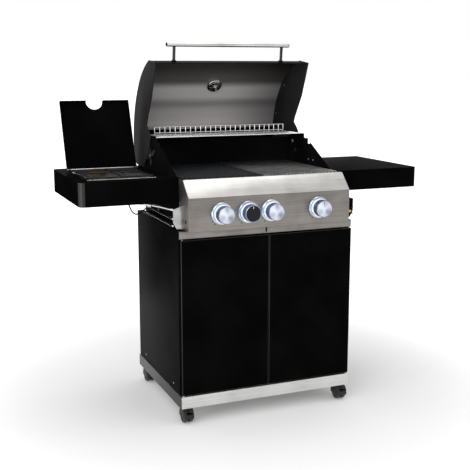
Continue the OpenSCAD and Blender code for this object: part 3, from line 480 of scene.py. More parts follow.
def soften(bm: bmesh.types.BMesh, radius: float, pick: Callable[[bmesh.types.BMEdge], bool],
           rings: int = 2) -> None:
    """Round the sharp edges that a test picks.

    Args:
        bm: The shape.
        radius: Width of the rounding.
        pick: Says of each sharp edge if it is rounded.
        rings: Steps across the rounding.
    """
    limit = math.radians(SHARP_DEG)
    sharp = [e for e in bm.edges if len(e.link_faces) == 2 and e.calc_face_angle(0.0) > limit and pick(e)]
    if sharp:
        bmesh.ops.bevel(bm, geom=sharp, offset=radius, offset_type="OFFSET", segments=rings, profile=0.5,
                        affect="EDGES", clamp_overlap=True, material=-1)


def on_planes(edge: bmesh.types.BMEdge, low: Vector, high: Vector,
              skip: Sequence[tuple[int, int]] = ()) -> bool:
    """Tell if an edge lies on two faces of a box.

    Args:
        edge: The edge.
        low: The box's lowest corner.
        high: The box's highest corner.
        skip: Faces of the box that don't count and rule an edge out, as (axis, 0 low or 1 high).

    Returns:
        True if both ends lie on the same two faces and on none of those skipped.
    """
    found = 0
    for axis in range(3):
        for side, limit in enumerate((low[axis], high[axis])):
            if all(abs(v.co[axis] - limit) < 2 * SAME_POINT for v in edge.verts):
                if (axis, side) in skip:
                    return False
                found += 1
    return found >= 2


def add_spun(bm: bmesh.types.BMesh, profile: Sequence[tuple[float, float]], centre: Vector, axis: Vector,
             steps: int = 48, material: int = 0) -> None:
    """Spin a profile about an axis and join it to a shape.

    Args:
        bm: The shape that gets the new faces.
        profile: (radius, height along the axis) points of a closed outline.
        centre: Where the axis starts.
        axis: Its direction.
        steps: Steps of a full turn.
        material: Material number of the new faces.
    """
    new = bmesh.new()
    axis = axis.normalized()
    side = axis.orthogonal().normalized()
    verts = [new.verts.new(centre + side * r + axis * h) for r, h in profile]
    pairs = list(zip(range(len(verts)), [*range(1, len(verts)), 0]))
    off_axis = [(a, b) for a, b in pairs if max(profile[a][0], profile[b][0]) > TINY]
    edges = [new.edges.new((verts[a], verts[b])) for a, b in off_axis]
    bmesh.ops.spin(new, geom=verts + edges, cent=centre, axis=axis, angle=math.tau, steps=steps,
                   use_merge=True)
    bmesh.ops.remove_doubles(new, verts=new.verts, dist=TINY)
    bmesh.ops.dissolve_degenerate(new, edges=new.edges, dist=TINY)
    bmesh.ops.recalc_face_normals(new, faces=new.faces)
    for face in new.faces:
        face.material_index = material
    join(bm, new)


def join(bm: bmesh.types.BMesh, other: bmesh.types.BMesh) -> None:
    """Put one shape's faces into another and free it."""
    held = bpy.data.meshes.new("held")
    other.to_mesh(held)
    other.free()
    bm.from_mesh(held)
    bpy.data.meshes.remove(held)


def add_bar(bm: bmesh.types.BMesh, start: Vector, end: Vector, radius: float, sides: int = 12,
            dome: bool = True, material: int = 0) -> None:
    """Add a round bar between two points, with softly domed or flat ends."""
    length = (end - start).length
    profile = [(0.0, 0.0), (radius, 0.0), (radius, length), (0.0, length)]
    if dome:
        cap, top = min(radius * 0.5, length / 4), radius * 0.6
        profile = [(0.0, 0.0), (top, 0.0), (radius, cap), (radius, length - cap), (top, length),
                   (0.0, length)]
    add_spun(bm, profile, start, end - start, sides, material)


def add_block(bm: bmesh.types.BMesh, size: Sequence[float], spot: Vector, turn: Matrix | None = None,
              material: int = 0) -> None:
    """Add a block to a shape.

    Args:
        bm: The shape that gets it.
        size: Its three sides.
        spot: Its middle.
        turn: How it is turned, if it is.
        material: Material number of its faces.
    """
    new = bmesh.new()
    made = bmesh.ops.create_cube(new, size=1.0)["verts"]
    bmesh.ops.scale(new, vec=size, verts=made)
    bmesh.ops.transform(new, matrix=Matrix.Translation(spot) @ (turn or Matrix.Identity(4)), verts=made)
    for face in new.faces:
        face.material_index = material
    join(bm, new)


# ---- sub-assemblies ----


@dataclass
class FoldedSheets:
    """The cabinet, shelves and other large pieces of folded sheet: CAD shapes with rolled folds."""

    # node: (radius of its folds, faces of its box that hold only raw edges)
    folds: dict[str, tuple[float, tuple[tuple[int, int], ...]]] = field(default_factory=lambda: {
        "cart_base": (2.5 * MM, ((2, 0),)),
        "left_door": (2.2 * MM, ((1, 1),)),
        "right_door": (2.2 * MM, ((1, 1),)),
        "left_side_panel": (2.0 * MM, ((0, 1),)),
        "right_side_panel": (2.0 * MM, ((0, 0),)),
        "front_rail": (1.6 * MM, ((1, 1), (0, 0), (0, 1))),
        "left_shelf": (3.0 * MM, ((0, 1), (2, 0))),
        "right_shelf": (3.0 * MM, ((0, 0), (2, 0))),
        "side_burner_pan": (1.0 * MM, ()),
    })
    # a face whose normal leans further than this from every axis belongs to a fold
    flat: float = 0.995
    # a face of the base pan that looks more along X than this is one of its sides, and gets the painted shade
    sideways: float = 0.7

    def dress(self, bm: bmesh.types.BMesh, node: str) -> list[Finish]:
        """Number a sheet's faces by finish, and return the finishes."""
        finish = finish_of(node)
        if node == "cart_base":
            for face in bm.faces:
                face.material_index = int(abs(face.normal.x) > self.sideways)
            return [finish, BASE_SIDE_PAINTED_SHADE]
        if finish is BLACK:
            for face in bm.faces:
                face.material_index = int(max(map(abs, face.normal)) <= self.flat)
            return [finish, FOLD]
        return [finish]

    def build(self) -> None:
        """Round each sheet's folds, and leave its raw edges as they are."""
        for node, (radius, raw) in self.folds.items():
            bm = copy_of(node)
            low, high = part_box(node)
            soften(bm, radius, lambda e: on_planes(e, low, high, raw), 3)
            keep_piece(bm, node + "_sheet", self.dress(bm, node), BODY_OF[node], [node])


@dataclass
class Fascia:
    """The steel control panel: a softly folded sheet whose sloping top is made brighter than its face, as
    painted light from above.
    """

    fold: float = 1.5 * MM
    # a face that looks more upwards than this belongs to the slope or the lip, and gets the painted light
    upward: float = 0.3

    def build(self) -> None:
        """Round the folds, and give the slope and lip the painted light apart from the upright face."""
        bm = copy_of("control_panel")
        low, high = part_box("control_panel")
        half = (high.x - low.x) / 2
        soften(bm, self.fold, lambda e: abs(e.verts[0].co.x - e.verts[1].co.x) > half, 3)
        for face in bm.faces:
            face.material_index = int(face.normal.z > self.upward)
        keep_piece(bm, "fascia_sheet", [STAINLESS, FASCIA_TOP_PAINTED_LIGHT], "cart", ["control_panel"])


@dataclass
class SmallSheets:
    """Pieces that keep their CAD shape, with every sharp edge taken off."""

    edge: float = 0.4 * MM
    nodes: tuple[str, ...] = ("back_panel", "door_catch", "panel_end_plates", "hinge_brackets",
                              "rail_brackets", "burner_cover", "flame_tamers", "drip_tray", "grease_cup",
                              "brake_pedal_fl", "brake_pedal_fr", "caster_plates", "hood_caps", "firebox",
                              "caster_hood_fl", "caster_hood_fr", "caster_hood_rl", "caster_hood_rr",
                              "handle_posts", "side_burner_head")

    def build(self) -> None:
        """Take the sharp edges off and dress each piece; the left rail bracket is bright."""
        for node in self.nodes:
            bm = copy_of(node)
            soften(bm, self.edge, lambda e: True, 2)
            finishes = [finish_of(node)]
            if node == "rail_brackets":
                finishes.append(ZINC)
                for face in bm.faces:
                    face.material_index = int(face.calc_center_median().x < 0)
            keep_piece(bm, node + "_soft", finishes, BODY_OF[node], [node])


@dataclass
class Knobs:
    """The four control knobs, their bezels with a ring of small lamps, and the dots printed round them."""

    out: Vector = field(default_factory=lambda: Vector((0, -1, 0)))
    steps: int = 96
    flutes: int = 16
    flute_depth: float = 0.9 * MM
    # the lit foot, the raised rim of the face, and how far the face is dished inside it
    foot: float = 5 * MM
    rim: float = 2.6 * MM
    dish: float = 0.9 * MM
    wall: float = 5 * MM
    bore: float = 4.1 * MM
    pointer: tuple[float, float, float] = (1.8 * MM, 1.4 * MM, 8 * MM)
    pointer_inset: float = 9 * MM
    bezel_bore: float = 6 * MM
    # the lit ring of a bezel, measured inwards from the bezel's rim
    lit_from: float = 8 * MM
    lit_to: float = 13 * MM
    dot_ring: float = 43.5 * MM
    dot: float = 1.5 * MM
    # one dot above each knob and four that grow along its lower left
    dot_turns: tuple[float, ...] = (90, 183, 198, 214, 232)

    def middle(self, number: int) -> tuple[Vector, float, float]:
        """Return a knob's centre on its back face, its radius and its depth."""
        low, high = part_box(f"knob_{number}")
        centre = Vector(((low.x + high.x) / 2, high.y, (low.z + high.z) / 2))
        return centre, (high.z - low.z) / 2, high.y - low.y

    def painted_fan_at(self, reach: float, turn: float) -> float:
        """Return how pale the painted highlight makes the brushed face at a place, from 0 to 1."""
        if reach < 1 * MM:
            return 0.8
        return 0.5 + 0.42 * math.cos(2 * turn - 1.9) * math.cos(turn + 0.6)

    def barrel(self, bm: bmesh.types.BMesh, number: int) -> None:
        """Turn a knob's lit foot, and its barrel with a rim round a dished face."""
        centre, r, depth = self.middle(number)
        foot, face = self.foot, depth - self.dish
        add_spun(bm, [(self.bore, 0), (r - 1.6 * MM, 0), (r - 1 * MM, 0.6 * MM), (r - 1 * MM, foot),
                      (self.bore, foot)], centre, self.out, self.steps, 1)
        add_spun(bm, [(self.bore, foot), (r - 0.8 * MM, foot), (r, foot + 0.8 * MM), (r, depth - self.rim),
                      (r - 0.7 * MM, depth - 0.8 * MM), (r - 1.8 * MM, depth), (r - self.rim, depth),
                      (r - self.rim - 0.6 * MM, face), (r * 0.45, face), (0, face),
                      (0, depth - self.wall), (self.bore, depth - self.wall)], centre, self.out, self.steps)

    def knob(self, number: int, face: Finish) -> None:
        """Make one knob: its barrel is fluted, and its face carries painted highlight fans."""
        centre, r, depth = self.middle(number)
        bm = bmesh.new()
        self.barrel(bm, number)
        painted_fan = bm.verts.layers.float.new("painted_fan")
        for side in bm.faces:
            spot = side.calc_center_median() - centre
            if math.hypot(spot.x, spot.z) < r - self.rim - 0.7 * MM and -spot.y > depth - 1.5 * MM:
                side.material_index = 2
        for vert in bm.verts:
            spot = vert.co - centre
            reach, turn = math.hypot(spot.x, spot.z), math.atan2(spot.z, spot.x)
            # painted highlight: each point's paleness in the fans across the face
            vert[painted_fan] = self.painted_fan_at(reach, turn)
            on_grip = self.foot + 1.5 * MM < -spot.y < depth - self.rim + 0.1 * MM
            if on_grip and reach > r - 0.4 * MM:
                share = 1 - self.flute_depth * (0.5 + 0.5 * math.cos(self.flutes * turn)) / reach
                vert.co = centre + Vector((spot.x * share, spot.y, spot.z * share))
        keep_piece(bm, f"knob_{number}_turned", [KNOB, GLOW, face], f"dial_{number}",
                   [f"knob_{number}"], 30)

    def mark(self, number: int, finish: Finish) -> None:
        """Let the pointer's bar into a knob's face, near its rim."""
        centre, r, depth = self.middle(number)
        bm = bmesh.new()
        spot = centre + self.out * (depth - 1 * MM) + Vector((0, 0, r - self.pointer_inset))
        add_block(bm, self.pointer, spot)
        soften(bm, 0.4 * MM, lambda e: True)
        keep_piece(bm, f"knob_{number}_pointer", [finish], f"dial_{number}")

    def bezels(self) -> None:
        """Turn the four stepped bezels, each with a milky lit ring round the knob's foot."""
        low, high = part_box("knob_bezels")
        rim = (high.z - low.z) / 2
        top = high.y - low.y
        floor, lit = top - 1 * MM, top - 0.3 * MM
        bm = bmesh.new()
        for number in range(1, 5):
            centre, _, _ = self.middle(number)
            seat = Vector((centre.x, high.y, centre.z))
            add_spun(bm, [(self.bezel_bore, 0), (rim, 0), (rim, 0.8 * MM), (rim - 0.7 * MM, 1.8 * MM),
                          (rim - 2.4 * MM, top - 0.5 * MM), (rim - 3.4 * MM, top), (rim - 4.6 * MM, top),
                          (rim - 5.4 * MM, floor), (self.bezel_bore, floor)], seat, self.out, 72)
            add_spun(bm, [(rim - self.lit_to, floor), (rim - self.lit_from, floor),
                          (rim - self.lit_from - 0.4 * MM, lit), (rim - self.lit_to + 0.4 * MM, lit)],
                     seat, self.out, 72, 1)
        keep_piece(bm, "bezel_rings", [BEZEL, GLOW], "cart", ["knob_bezels"], 30)

    def dots(self) -> None:
        """Print the plain round dots on the panel about each knob."""
        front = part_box("control_panel")[0].y
        bm = bmesh.new()
        for number in range(1, 5):
            centre, _, _ = self.middle(number)
            for place, turn in enumerate(self.dot_turns):
                angle = math.radians(turn)
                spot = Vector((centre.x + self.dot_ring * math.cos(angle), front + 0.05 * MM,
                               centre.z + self.dot_ring * math.sin(angle)))
                size = self.dot * (1.0 if place == 0 else 0.7 + 0.2 * place)
                add_spun(bm, [(0, 0), (size, 0), (size * 0.9, 0.25 * MM), (0, 0.3 * MM)], spot, self.out, 16)
        keep_piece(bm, "panel_dots", [DARK_MARK], "cart")

    def build(self) -> None:
        """Make all four, the second with a dark face."""
        for number in range(1, 5):
            dark = number == 2
            self.knob(number, KNOB_DARK if dark else KNOB_FACE)
            self.mark(number, PALE_MARK if dark else DARK_MARK)
        self.bezels()
        self.dots()


@dataclass
class Hood:
    """The hood: enamelled outside, brushed inside, with its handle and heat gauge. It is modelled open."""

    radius: float = 0.321
    sheet: float = 1.5 * MM
    # height below which the steel lining is made black, behind the warming rack: painted shade and painted
    # reflection of the dark firebox
    painted_shade_below: float = 0.989
    gauge_lean_deg: float = 44.0
    gauge_r: float = 30 * MM
    gauge_depth: float = 11.5 * MM
    gauge_dots: int = 11
    first_dot_deg: float = 225.0
    dot_step_deg: float = 27.0
    probe: float = 32 * MM
    guard_r: float = 26 * MM
    spokes: int = 10
    screw_turns: tuple[float, ...] = (45.5, 20.4, 9.0)

    def __post_init__(self) -> None:
        """Find the middle of the hood's round front."""
        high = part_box("hood_shell")[1]
        self.centre = Vector((0.0, high.y - self.radius, high.z - self.radius))

    def shell(self) -> None:
        """Dress the shell: steel faces towards its middle, black ones elsewhere; lining faces below
        painted_shade_below are black too, as painted shade.
        """
        bm = copy_of("hood_shell")
        for face in bm.faces:
            spot = face.calc_center_median()
            inward = Vector((0, self.centre.y - spot.y, self.centre.z - spot.z)).normalized()
            lining = face.normal.dot(inward) > 0.6
            # painted shade: the lining low down gets the black enamel
            face.material_index = 0 if lining and spot.z > self.painted_shade_below else 1
        keep_piece(bm, "hood_shell_lined", [LINER, BLACK], "hood", ["hood_shell"], 30)

    def handle(self) -> None:
        """Turn the tube handle with a dark plug in each end."""
        low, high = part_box("hood_handle")
        r = (high.z - low.z) / 2
        plug = 3 * MM
        left = Vector((low.x + plug, (low.y + high.y) / 2, (low.z + high.z) / 2))
        length = high.x - low.x - 2 * plug
        along = Vector((1, 0, 0))
        bm = bmesh.new()
        add_spun(bm, [(0, 0), (r - 1 * MM, 0), (r, 0.8 * MM), (r, length - 0.8 * MM), (r - 1 * MM, length),
                      (0, length)], left, along, 48)
        for side in (-1, 1):
            start = left if side < 0 else left + along * length
            add_spun(bm, [(0, 0), (r - 1.2 * MM, 0), (r - 1.2 * MM, plug - 1.2 * MM), (r - 2.6 * MM, plug),
                          (0, plug)], start, along * side, 48, 1)
        keep_piece(bm, "handle_tube", [TUBE, PLASTIC], "hood", ["hood_handle"])

    def gauge(self) -> None:
        """Build the heat gauge: its case and dial outside, its probe, and its guard inside."""
        lean = math.radians(self.gauge_lean_deg)
        axis = Vector((0, math.cos(lean), math.sin(lean)))
        across, up = Vector((1, 0, 0)), Vector((0, -math.sin(lean), math.cos(lean)))
        bm = bmesh.new()
        self.gauge_face(bm, axis, across, up)
        self.gauge_guard(bm, axis, across, up)
        keep_piece(bm, "heat_gauge", [TUBE, PALE_MARK, DARK_MARK, BLACK], "hood",
                   ["thermometer"], 30)

    def gauge_face(self, bm: bmesh.types.BMesh, axis: Vector, across: Vector, up: Vector) -> None:
        """Turn the case with its dial, hour dots and needle, and the probe behind it."""
        face = self.centre + axis * (self.radius + 0.5 * MM)
        r, deep = self.gauge_r, self.gauge_depth
        dial = deep - 2 * MM
        add_spun(bm, [(0, 0), (r - 1.5 * MM, 0), (r, 1.5 * MM), (r, dial), (r - 1.4 * MM, deep),
                      (r - 3.4 * MM, deep), (r - 4 * MM, dial), (0, dial)], face, axis, 64)
        add_spun(bm, [(0, dial), (r - 4.2 * MM, dial), (r - 4.2 * MM, dial + 0.4 * MM), (0, dial + 0.4 * MM)],
                 face, axis, 64, 1)
        for mark in range(self.gauge_dots):
            turn = math.radians(self.first_dot_deg - self.dot_step_deg * mark)
            out = across * math.cos(turn) + up * math.sin(turn)
            add_spun(bm, [(0, 0), (1.1 * MM, 0), (1.1 * MM, 0.4 * MM), (0, 0.4 * MM)],
                     face + out * (r - 8 * MM) + axis * (dial + 0.3 * MM), axis, 12, 2)
        foot = face + axis * (dial + 1 * MM)
        add_bar(bm, foot, foot - (across * 0.6 + up * 0.5) * (r - 12 * MM), 0.5 * MM, 8, False, 2)
        add_spun(bm, [(0, 0), (2.2 * MM, 0), (1.8 * MM, 0.8 * MM), (0, 0.9 * MM)],
                 face + axis * (dial + 0.5 * MM), axis, 24, 2)
        add_bar(bm, face + axis * 0.5 * MM, face - axis * self.probe, 3.5 * MM, 24)

    def gauge_guard(self, bm: bmesh.types.BMesh, axis: Vector, across: Vector, up: Vector) -> None:
        """Build the guard inside the hood: a dark disc under a ring, spokes, a washer and a nut."""
        inside = self.centre + axis * (self.radius - self.sheet - 0.3 * MM)
        r = self.guard_r
        add_spun(bm, [(0, 0), (r - 0.6 * MM, 0), (r - 0.6 * MM, 1 * MM), (0, 1 * MM)], inside, -axis, 64, 3)
        add_spun(bm, [(r - 4 * MM, 0.6 * MM), (r, 0), (r, 1.6 * MM), (r - 2 * MM, 2.6 * MM),
                      (r - 4 * MM, 2.2 * MM)], inside, -axis, 64)
        add_spun(bm, [(0, 0), (11 * MM, 0), (11 * MM, 2 * MM), (9.5 * MM, 2.6 * MM), (0, 2.6 * MM)],
                 inside, -axis, 48)
        add_spun(bm, [(0, 2 * MM), (8.5 * MM, 2 * MM), (8.5 * MM, 6.6 * MM), (7.4 * MM, 7.2 * MM),
                      (0, 7.2 * MM)], inside, -axis, 6)
        level = inside - axis * 1.4 * MM
        for spoke in range(self.spokes):
            turn = math.tau * spoke / self.spokes
            out = across * math.cos(turn) + up * math.sin(turn)
            add_bar(bm, level + out * 9 * MM, level + out * (r - 3 * MM), 1.1 * MM, 8)

    def screws(self) -> None:
        """Set the small screws that hold the lining to the end caps' rims."""
        low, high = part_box("hood_caps")
        bm = bmesh.new()
        for side, edge in ((1, high.x), (-1, low.x)):
            for turn in self.screw_turns:
                angle = math.radians(turn)
                out = Vector((0, math.cos(angle), math.sin(angle)))
                middle = Vector((edge - side * 10 * MM, self.centre.y, self.centre.z))
                spot = middle + out * (self.radius - 4 * MM)
                add_screw(bm, spot, -out, 3.2 * MM)
        keep_piece(bm, "lining_screws", [ZINC, DARK_MARK], "hood")

    def build(self) -> None:
        """Make the hood's pieces."""
        self.shell()
        self.handle()
        self.gauge()
        self.screws()


def add_screw(bm: bmesh.types.BMesh, spot: Vector, out: Vector, radius: float) -> None:
    """Add a domed screw head with a dark cross recess.

    Args:
        bm: The shape that gets it.
        spot: Middle of its seat.
        out: Direction in which it stands.
        radius: Radius of the head.
    """
    out = out.normalized()
    rise = radius * 0.55
    add_spun(bm, [(0, 0), (radius, 0), (radius, rise * 0.3), (radius * 0.8, rise * 0.8), (radius * 0.4, rise),
                  (0, rise)], spot, out, 24)
    side = out.orthogonal().normalized()
    for arm in (side, out.cross(side)):
        turn = Matrix((arm, out.cross(arm), out)).transposed().to_4x4()
        add_block(bm, (radius, radius * 0.22, rise * 0.4), spot + out * rise * 0.82, turn, 1)


def islands(bm: bmesh.types.BMesh) -> list[list[bmesh.types.BMVert]]:
    """Split a shape's vertices into the groups that hang together."""
    left, groups = set(bm.verts), []
    while left:
        front = [left.pop()]
        group = list(front)
        while front:
            vert = front.pop()
            for edge in vert.link_edges:
                other = edge.other_vert(vert)
                if other in left:
                    left.remove(other)
                    front.append(other)
                    group.append(other)
        groups.append(group)
    return groups


@dataclass
class Screws:
    """The screw heads on the cart, domed and recessed, each where its plain disc is."""

    def build(self) -> None:
        """Put a head on every disc, standing away from the wall that it is on."""
        discs = copy_of("screws")
        bm = bmesh.new()
        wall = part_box("firebox")[1].x
        for group in islands(discs):
            low = Vector([min(v.co[a] for v in group) for a in range(3)])
            high = Vector([max(v.co[a] for v in group) for a in range(3)])
            middle = (low + high) / 2
            inside = abs(middle.x) < wall
            right = middle.x > 0
            faces_left = inside == right
            seat = Vector((high.x if faces_left else low.x, middle.y, middle.z))
            add_screw(bm, seat, Vector((-1 if faces_left else 1, 0, 0)), (high.z - low.z) / 2)
        discs.free()
        keep_piece(bm, "screw_heads", [ZINC, DARK_MARK], "cart", ["screws"])


@dataclass
class Casters:
    """Twin nylon wheels on a steel axle, with a crowned tread and a dished hub."""

    gap: float = 7 * MM
    axle: float = 4 * MM
    corners: tuple[str, ...] = ("fl", "fr", "rl", "rr")

    def wheels(self, corner: str) -> None:
        """Turn a caster's two wheels and its axle."""
        low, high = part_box("caster_wheels_" + corner)
        middle = (low + high) / 2
        r = (high.z - low.z) / 2
        width = (high.x - low.x - self.gap) / 2
        along = Vector((1, 0, 0))
        bm = bmesh.new()
        # the dish in each face of a wheel, between its hub and its tread
        hub, dish, tread = 1.5 * MM, 2.4 * MM, 1.6 * MM
        for side in (-1, 1):
            start = middle + along * (side * (self.gap / 2 + width) - (width if side > 0 else 0))
            add_spun(bm, [(self.axle, hub), (r * 0.5, hub), (r * 0.56, dish), (r * 0.74, dish), (r * 0.8, 0),
                          (r - tread, 0), (r - 0.5 * MM, 0.9 * MM), (r, 3 * MM), (r, width - 3 * MM),
                          (r - 0.5 * MM, width - 0.9 * MM), (r - tread, width), (r * 0.8, width),
                          (r * 0.74, width - dish), (r * 0.56, width - dish), (r * 0.5, width - hub),
                          (self.axle, width - hub)], start, along, 64)
        add_spun(bm, [(0, 0), (self.axle, 0), (self.axle, high.x - low.x), (0, high.x - low.x)],
                 Vector((low.x, middle.y, middle.z)), along, 24, 1)
        keep_piece(bm, "wheels_" + corner + "_turned", [WHEEL_NYLON, ZINC], "wheels_" + corner,
                   ["caster_wheels_" + corner], 30)

    def build(self) -> None:
        """Make the four pairs."""
        for corner in self.corners:
            self.wheels(corner)


@dataclass
class WarmingRack:
    """The raised rack of chromed wire: a framed shelf of thin wires and a low fence along its back."""

    wire: float = 2 * MM
    fence_h: float = 29 * MM
    fence_inset: float = 30 * MM
    end_inset: float = 12 * MM
    posts: int = 13
    slats: int = 12
    slat_pitch: float = 9.6 * MM
    first_slat: float = 10 * MM
    # height of the fence's lower wire over the shelf
    low_wire: float = 7 * MM
    # share of the fence's length that its posts take up
    post_spread: float = 0.995
    ties: tuple[float, ...] = (-0.18, -0.06, 0.06, 0.18)

    def build(self) -> None:
        """Lay every wire as a smooth round bar with soft ends."""
        low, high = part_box("warming_rack")
        r = self.wire
        z = high.z - r - self.fence_h
        fence_x = high.x - self.fence_inset
        rear = high.y - r
        bm = bmesh.new()

        def across(half: float, y: float, height: float, radius: float) -> None:
            """Lay one wire from side to side."""
            add_bar(bm, Vector((-half, y, height)), Vector((half, y, height)), radius, 12)

        for y in (low.y + r, rear):
            across(high.x, y, z, r)
        for x in (-high.x + self.end_inset, high.x - self.end_inset):
            add_bar(bm, Vector((x, low.y + r, z)), Vector((x, rear, z)), r, 12)
        for slat in range(self.slats):
            across(high.x - self.end_inset, low.y + self.first_slat + slat * self.slat_pitch, z, r * 0.7)
        for x in self.ties:
            add_bar(bm, Vector((x, low.y + r, z - r)), Vector((x, rear, z - r)), r * 0.8, 12)
        across(fence_x, rear, high.z - r, r)
        across(fence_x, rear, z + self.low_wire, r)
        for post in range(-self.posts, self.posts + 1):
            x = post * fence_x / self.posts * self.post_spread
            add_bar(bm, Vector((x, rear, z)), Vector((x, rear, high.z - r)), r * 0.9, 12)
        keep_piece(bm, "rack_wires", [WIRE], "rack", ["warming_rack"])


@dataclass
class SmoothTubes:
    """The side burner's gas pipe and its ignition lead, with their routes smoothed."""

    nodes: tuple[str, ...] = ("side_burner_pipe", "side_burner_lead")

    def build(self) -> None:
        """Copy each tube and smooth it once."""
        for node in self.nodes:
            piece = keep_piece(copy_of(node), node + "_smooth", [finish_of(node)], BODY_OF[node],
                               [node], 70)
            crease = piece.data.attributes.new("crease_edge", "FLOAT", "EDGE")
            for edge in piece.data.edges:
                crease.data[edge.index].value = 1.0 if edge.use_edge_sharp else 0.0
            smooth = piece.modifiers.new("smooth", "SUBSURF")
            smooth.levels = smooth.render_levels = 1


@dataclass
class KeptNodes:
    """CAD nodes whose shape is right: each only gets its finish."""

    def build(self) -> None:
        """Put the finish on every CAD node that nothing replaces."""
        for name, node in frame["nodes"].items():
            node.data.materials.clear()
            node.data.materials.append(finish_of(name).build())


@dataclass(frozen=True)
class Lamp:
    """One square soft lamp: where it hangs, what it points at, its side and its power in watts."""

    name: str
    place: tuple[float, float, float]
    aim: tuple[float, float, float]
    side: float
    power: float
    # how strongly it shows in shiny surfaces
    gloss: float

    def hang(self) -> None:
        """Put the lamp into the scene."""
        data = bpy.data.lights.new(self.name, "AREA")
        data.size = self.side
        data.energy = self.power
        data.specular_factor = self.gloss
        lamp = bpy.data.objects.new(self.name, data)
        lamp.location = self.place
        lamp.rotation_euler = (Vector(self.aim) - Vector(self.place)).to_track_quat("-Z", "Y").to_euler()
        bpy.context.scene.collection.objects.link(lamp)


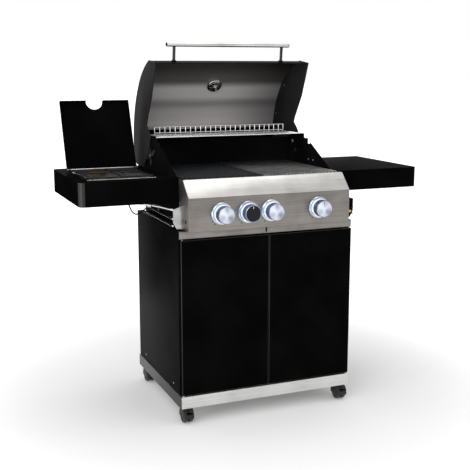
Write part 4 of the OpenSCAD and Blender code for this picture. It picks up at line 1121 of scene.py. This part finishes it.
@dataclass
class Studio:
    """Floor, dark card, soft lamps, white surround and the camera."""

    lens_mm: float = 66.87
    yaw_deg: float = 22.31
    pitch_deg: float = 10.87
    # from the middle of the base pan on the floor
    stand: tuple[float, float, float] = (-1.246, -2.978, 1.226)
    # the floor keeps its shadow out to the first distance and is pure white from the second
    shadow_reach: float = 0.7
    white_from: float = 2.0
    # how much the floor is lifted towards white at those two distances
    near_lift: float = 0.1
    far_lift: float = 0.75
    floor_side: float = 120.0
    # strength of the surround as a light on dull surfaces
    fill: float = 0.85
    lamps: tuple[Lamp, ...] = (
        Lamp("key", (-2.2, -3.0, 3.0), (0.0, 0.0, 0.8), 2.2, 40.0, 0.08),
        Lamp("top", (0.2, 0.2, 4.0), (0.0, 0.0, 0.8), 2.6, 45.0, 0.03),
        Lamp("side", (-3.0, -1.0, 0.7), (-0.5, 0.0, 0.7), 1.2, 14.0, 1.0))
    # the dark card's middle, and its width and height
    flag_place: tuple[float, float, float] = (-1.25, 1.3, 0.8)
    flag_size: tuple[float, float] = (1.6, 1.5)

    def camera(self) -> None:
        """Stand the camera where the grill is seen from."""
        low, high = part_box("cart_base")
        middle = Vector(((low.x + high.x) / 2, (low.y + high.y) / 2, 0.0))
        data = bpy.data.cameras.new("camera")
        data.lens = self.lens_mm
        data.sensor_width = 36.0
        camera = bpy.data.objects.new("camera", data)
        camera.location = middle + Vector(self.stand)
        camera.rotation_euler = (math.radians(90 - self.pitch_deg), 0.0, -math.radians(self.yaw_deg))
        bpy.context.scene.collection.objects.link(camera)
        bpy.context.scene.camera = camera

    def sheet(self, name: str, size: tuple[float, float], material: bpy.types.Material) -> bpy.types.Object:
        """Lay one flat sheet of the stage on the floor's level, about the middle."""
        bm = bmesh.new()
        made = bmesh.ops.create_grid(bm, x_segments=1, y_segments=1, size=0.5)["verts"]
        bmesh.ops.scale(bm, vec=(*size, 1.0), verts=made)
        mesh = bpy.data.meshes.new(name)
        bm.to_mesh(mesh)
        bm.free()
        mesh.materials.append(material)
        sheet = bpy.data.objects.new(name, mesh)
        bpy.context.scene.collection.objects.link(sheet)
        return sheet

    def blank(self, name: str) -> bpy.types.Material:
        """Return a new material with no nodes."""
        material = bpy.data.materials.new(name)
        material.use_nodes = True
        material.node_tree.nodes.clear()
        return material

    def floor(self) -> None:
        """Lay a pale floor that keeps the grill's soft shadow and is white further off."""
        material = self.blank("pale_floor")
        tree = material.node_tree
        place = add_node(tree, "ShaderNodeTexCoord").outputs["Object"]
        reach = add_node(tree, "ShaderNodeVectorMath", {"operation": "LENGTH"}, in0=place).outputs["Value"]
        fade = add_node(tree, "ShaderNodeMapRange", {"interpolation_type": "SMOOTHSTEP"}, Value=reach,
                        From_Min=self.shadow_reach, From_Max=self.white_from, To_Min=self.near_lift,
                        To_Max=self.far_lift)
        lift = add_node(tree, "ShaderNodeMath", {"operation": "MULTIPLY"}, in0=self.seen_directly(tree),
                        in1=fade.outputs[0])
        matt = add_node(tree, "ShaderNodeBsdfDiffuse", Color=linear("E6E6E6"))
        white = add_node(tree, "ShaderNodeEmission", Color=linear("FFFFFF"), Strength=lift.outputs[0])
        total = add_node(tree, "ShaderNodeAddShader", in0=matt.outputs[0], in1=white.outputs[0])
        add_node(tree, "ShaderNodeOutputMaterial", Surface=total.outputs[0])
        self.sheet("floor", (self.floor_side, self.floor_side), material)

    def flag(self) -> None:
        """Stand a dark card behind the left side, so that shiny surfaces turn dark there.

        The camera, soft light and shadows pass it by.
        """
        material = self.blank("dark_card")
        dull = add_node(material.node_tree, "ShaderNodeBsdfDiffuse", Color=linear("1C1C1C"))
        add_node(material.node_tree, "ShaderNodeOutputMaterial", Surface=dull.outputs[0])
        card = self.sheet("flag", self.flag_size, material)
        card.location = self.flag_place
        card.rotation_euler = (math.radians(90), 0.0, 0.0)
        card.visible_camera = card.visible_diffuse = card.visible_shadow = False

    def seen_directly(self, tree: bpy.types.NodeTree) -> bpy.types.NodeSocket:
        """Return a value that is 1 for camera, glossy and transmission rays."""
        path = add_node(tree, "ShaderNodeLightPath").outputs
        either = add_node(tree, "ShaderNodeMath", {"operation": "MAXIMUM"}, in0=path["Is Camera Ray"],
                          in1=path["Is Glossy Ray"])
        return add_node(tree, "ShaderNodeMath", {"operation": "MAXIMUM"}, in0=either.outputs[0],
                        in1=path["Is Transmission Ray"]).outputs[0]

    def surround(self) -> None:
        """White where it is seen or reflected, and a plain soft fill otherwise."""
        world = bpy.data.worlds.new("surround")
        world.use_nodes = True
        tree = world.node_tree
        tree.nodes.clear()
        seen = self.seen_directly(tree)
        strength = add_node(tree, "ShaderNodeMapRange", Value=seen, To_Min=self.fill, To_Max=1.0)
        back = add_node(tree, "ShaderNodeBackground", Color=linear("FFFFFF"), Strength=strength.outputs[0])
        add_node(tree, "ShaderNodeOutputWorld", Surface=back.outputs[0])
        bpy.context.scene.world = world

    def build(self) -> None:
        """Set up the whole stage."""
        self.camera()
        self.floor()
        self.flag()
        self.surround()
        for lamp in self.lamps:
            lamp.hang()
        bpy.context.scene.view_settings.view_transform = "Standard"


def main() -> None:
    """Build the stage, then each sub-assembly in turn."""
    logging.basicConfig(level=logging.INFO, format="%(name)s: %(message)s")
    Studio().build()
    KeptNodes().build()
    for part in (FoldedSheets(), Fascia(), SmallSheets(), Hood(), Knobs(), WarmingRack(), Casters(), Screws(),
                 SmoothTubes()):
        part.build()


if __name__ == "__main__":
    main()
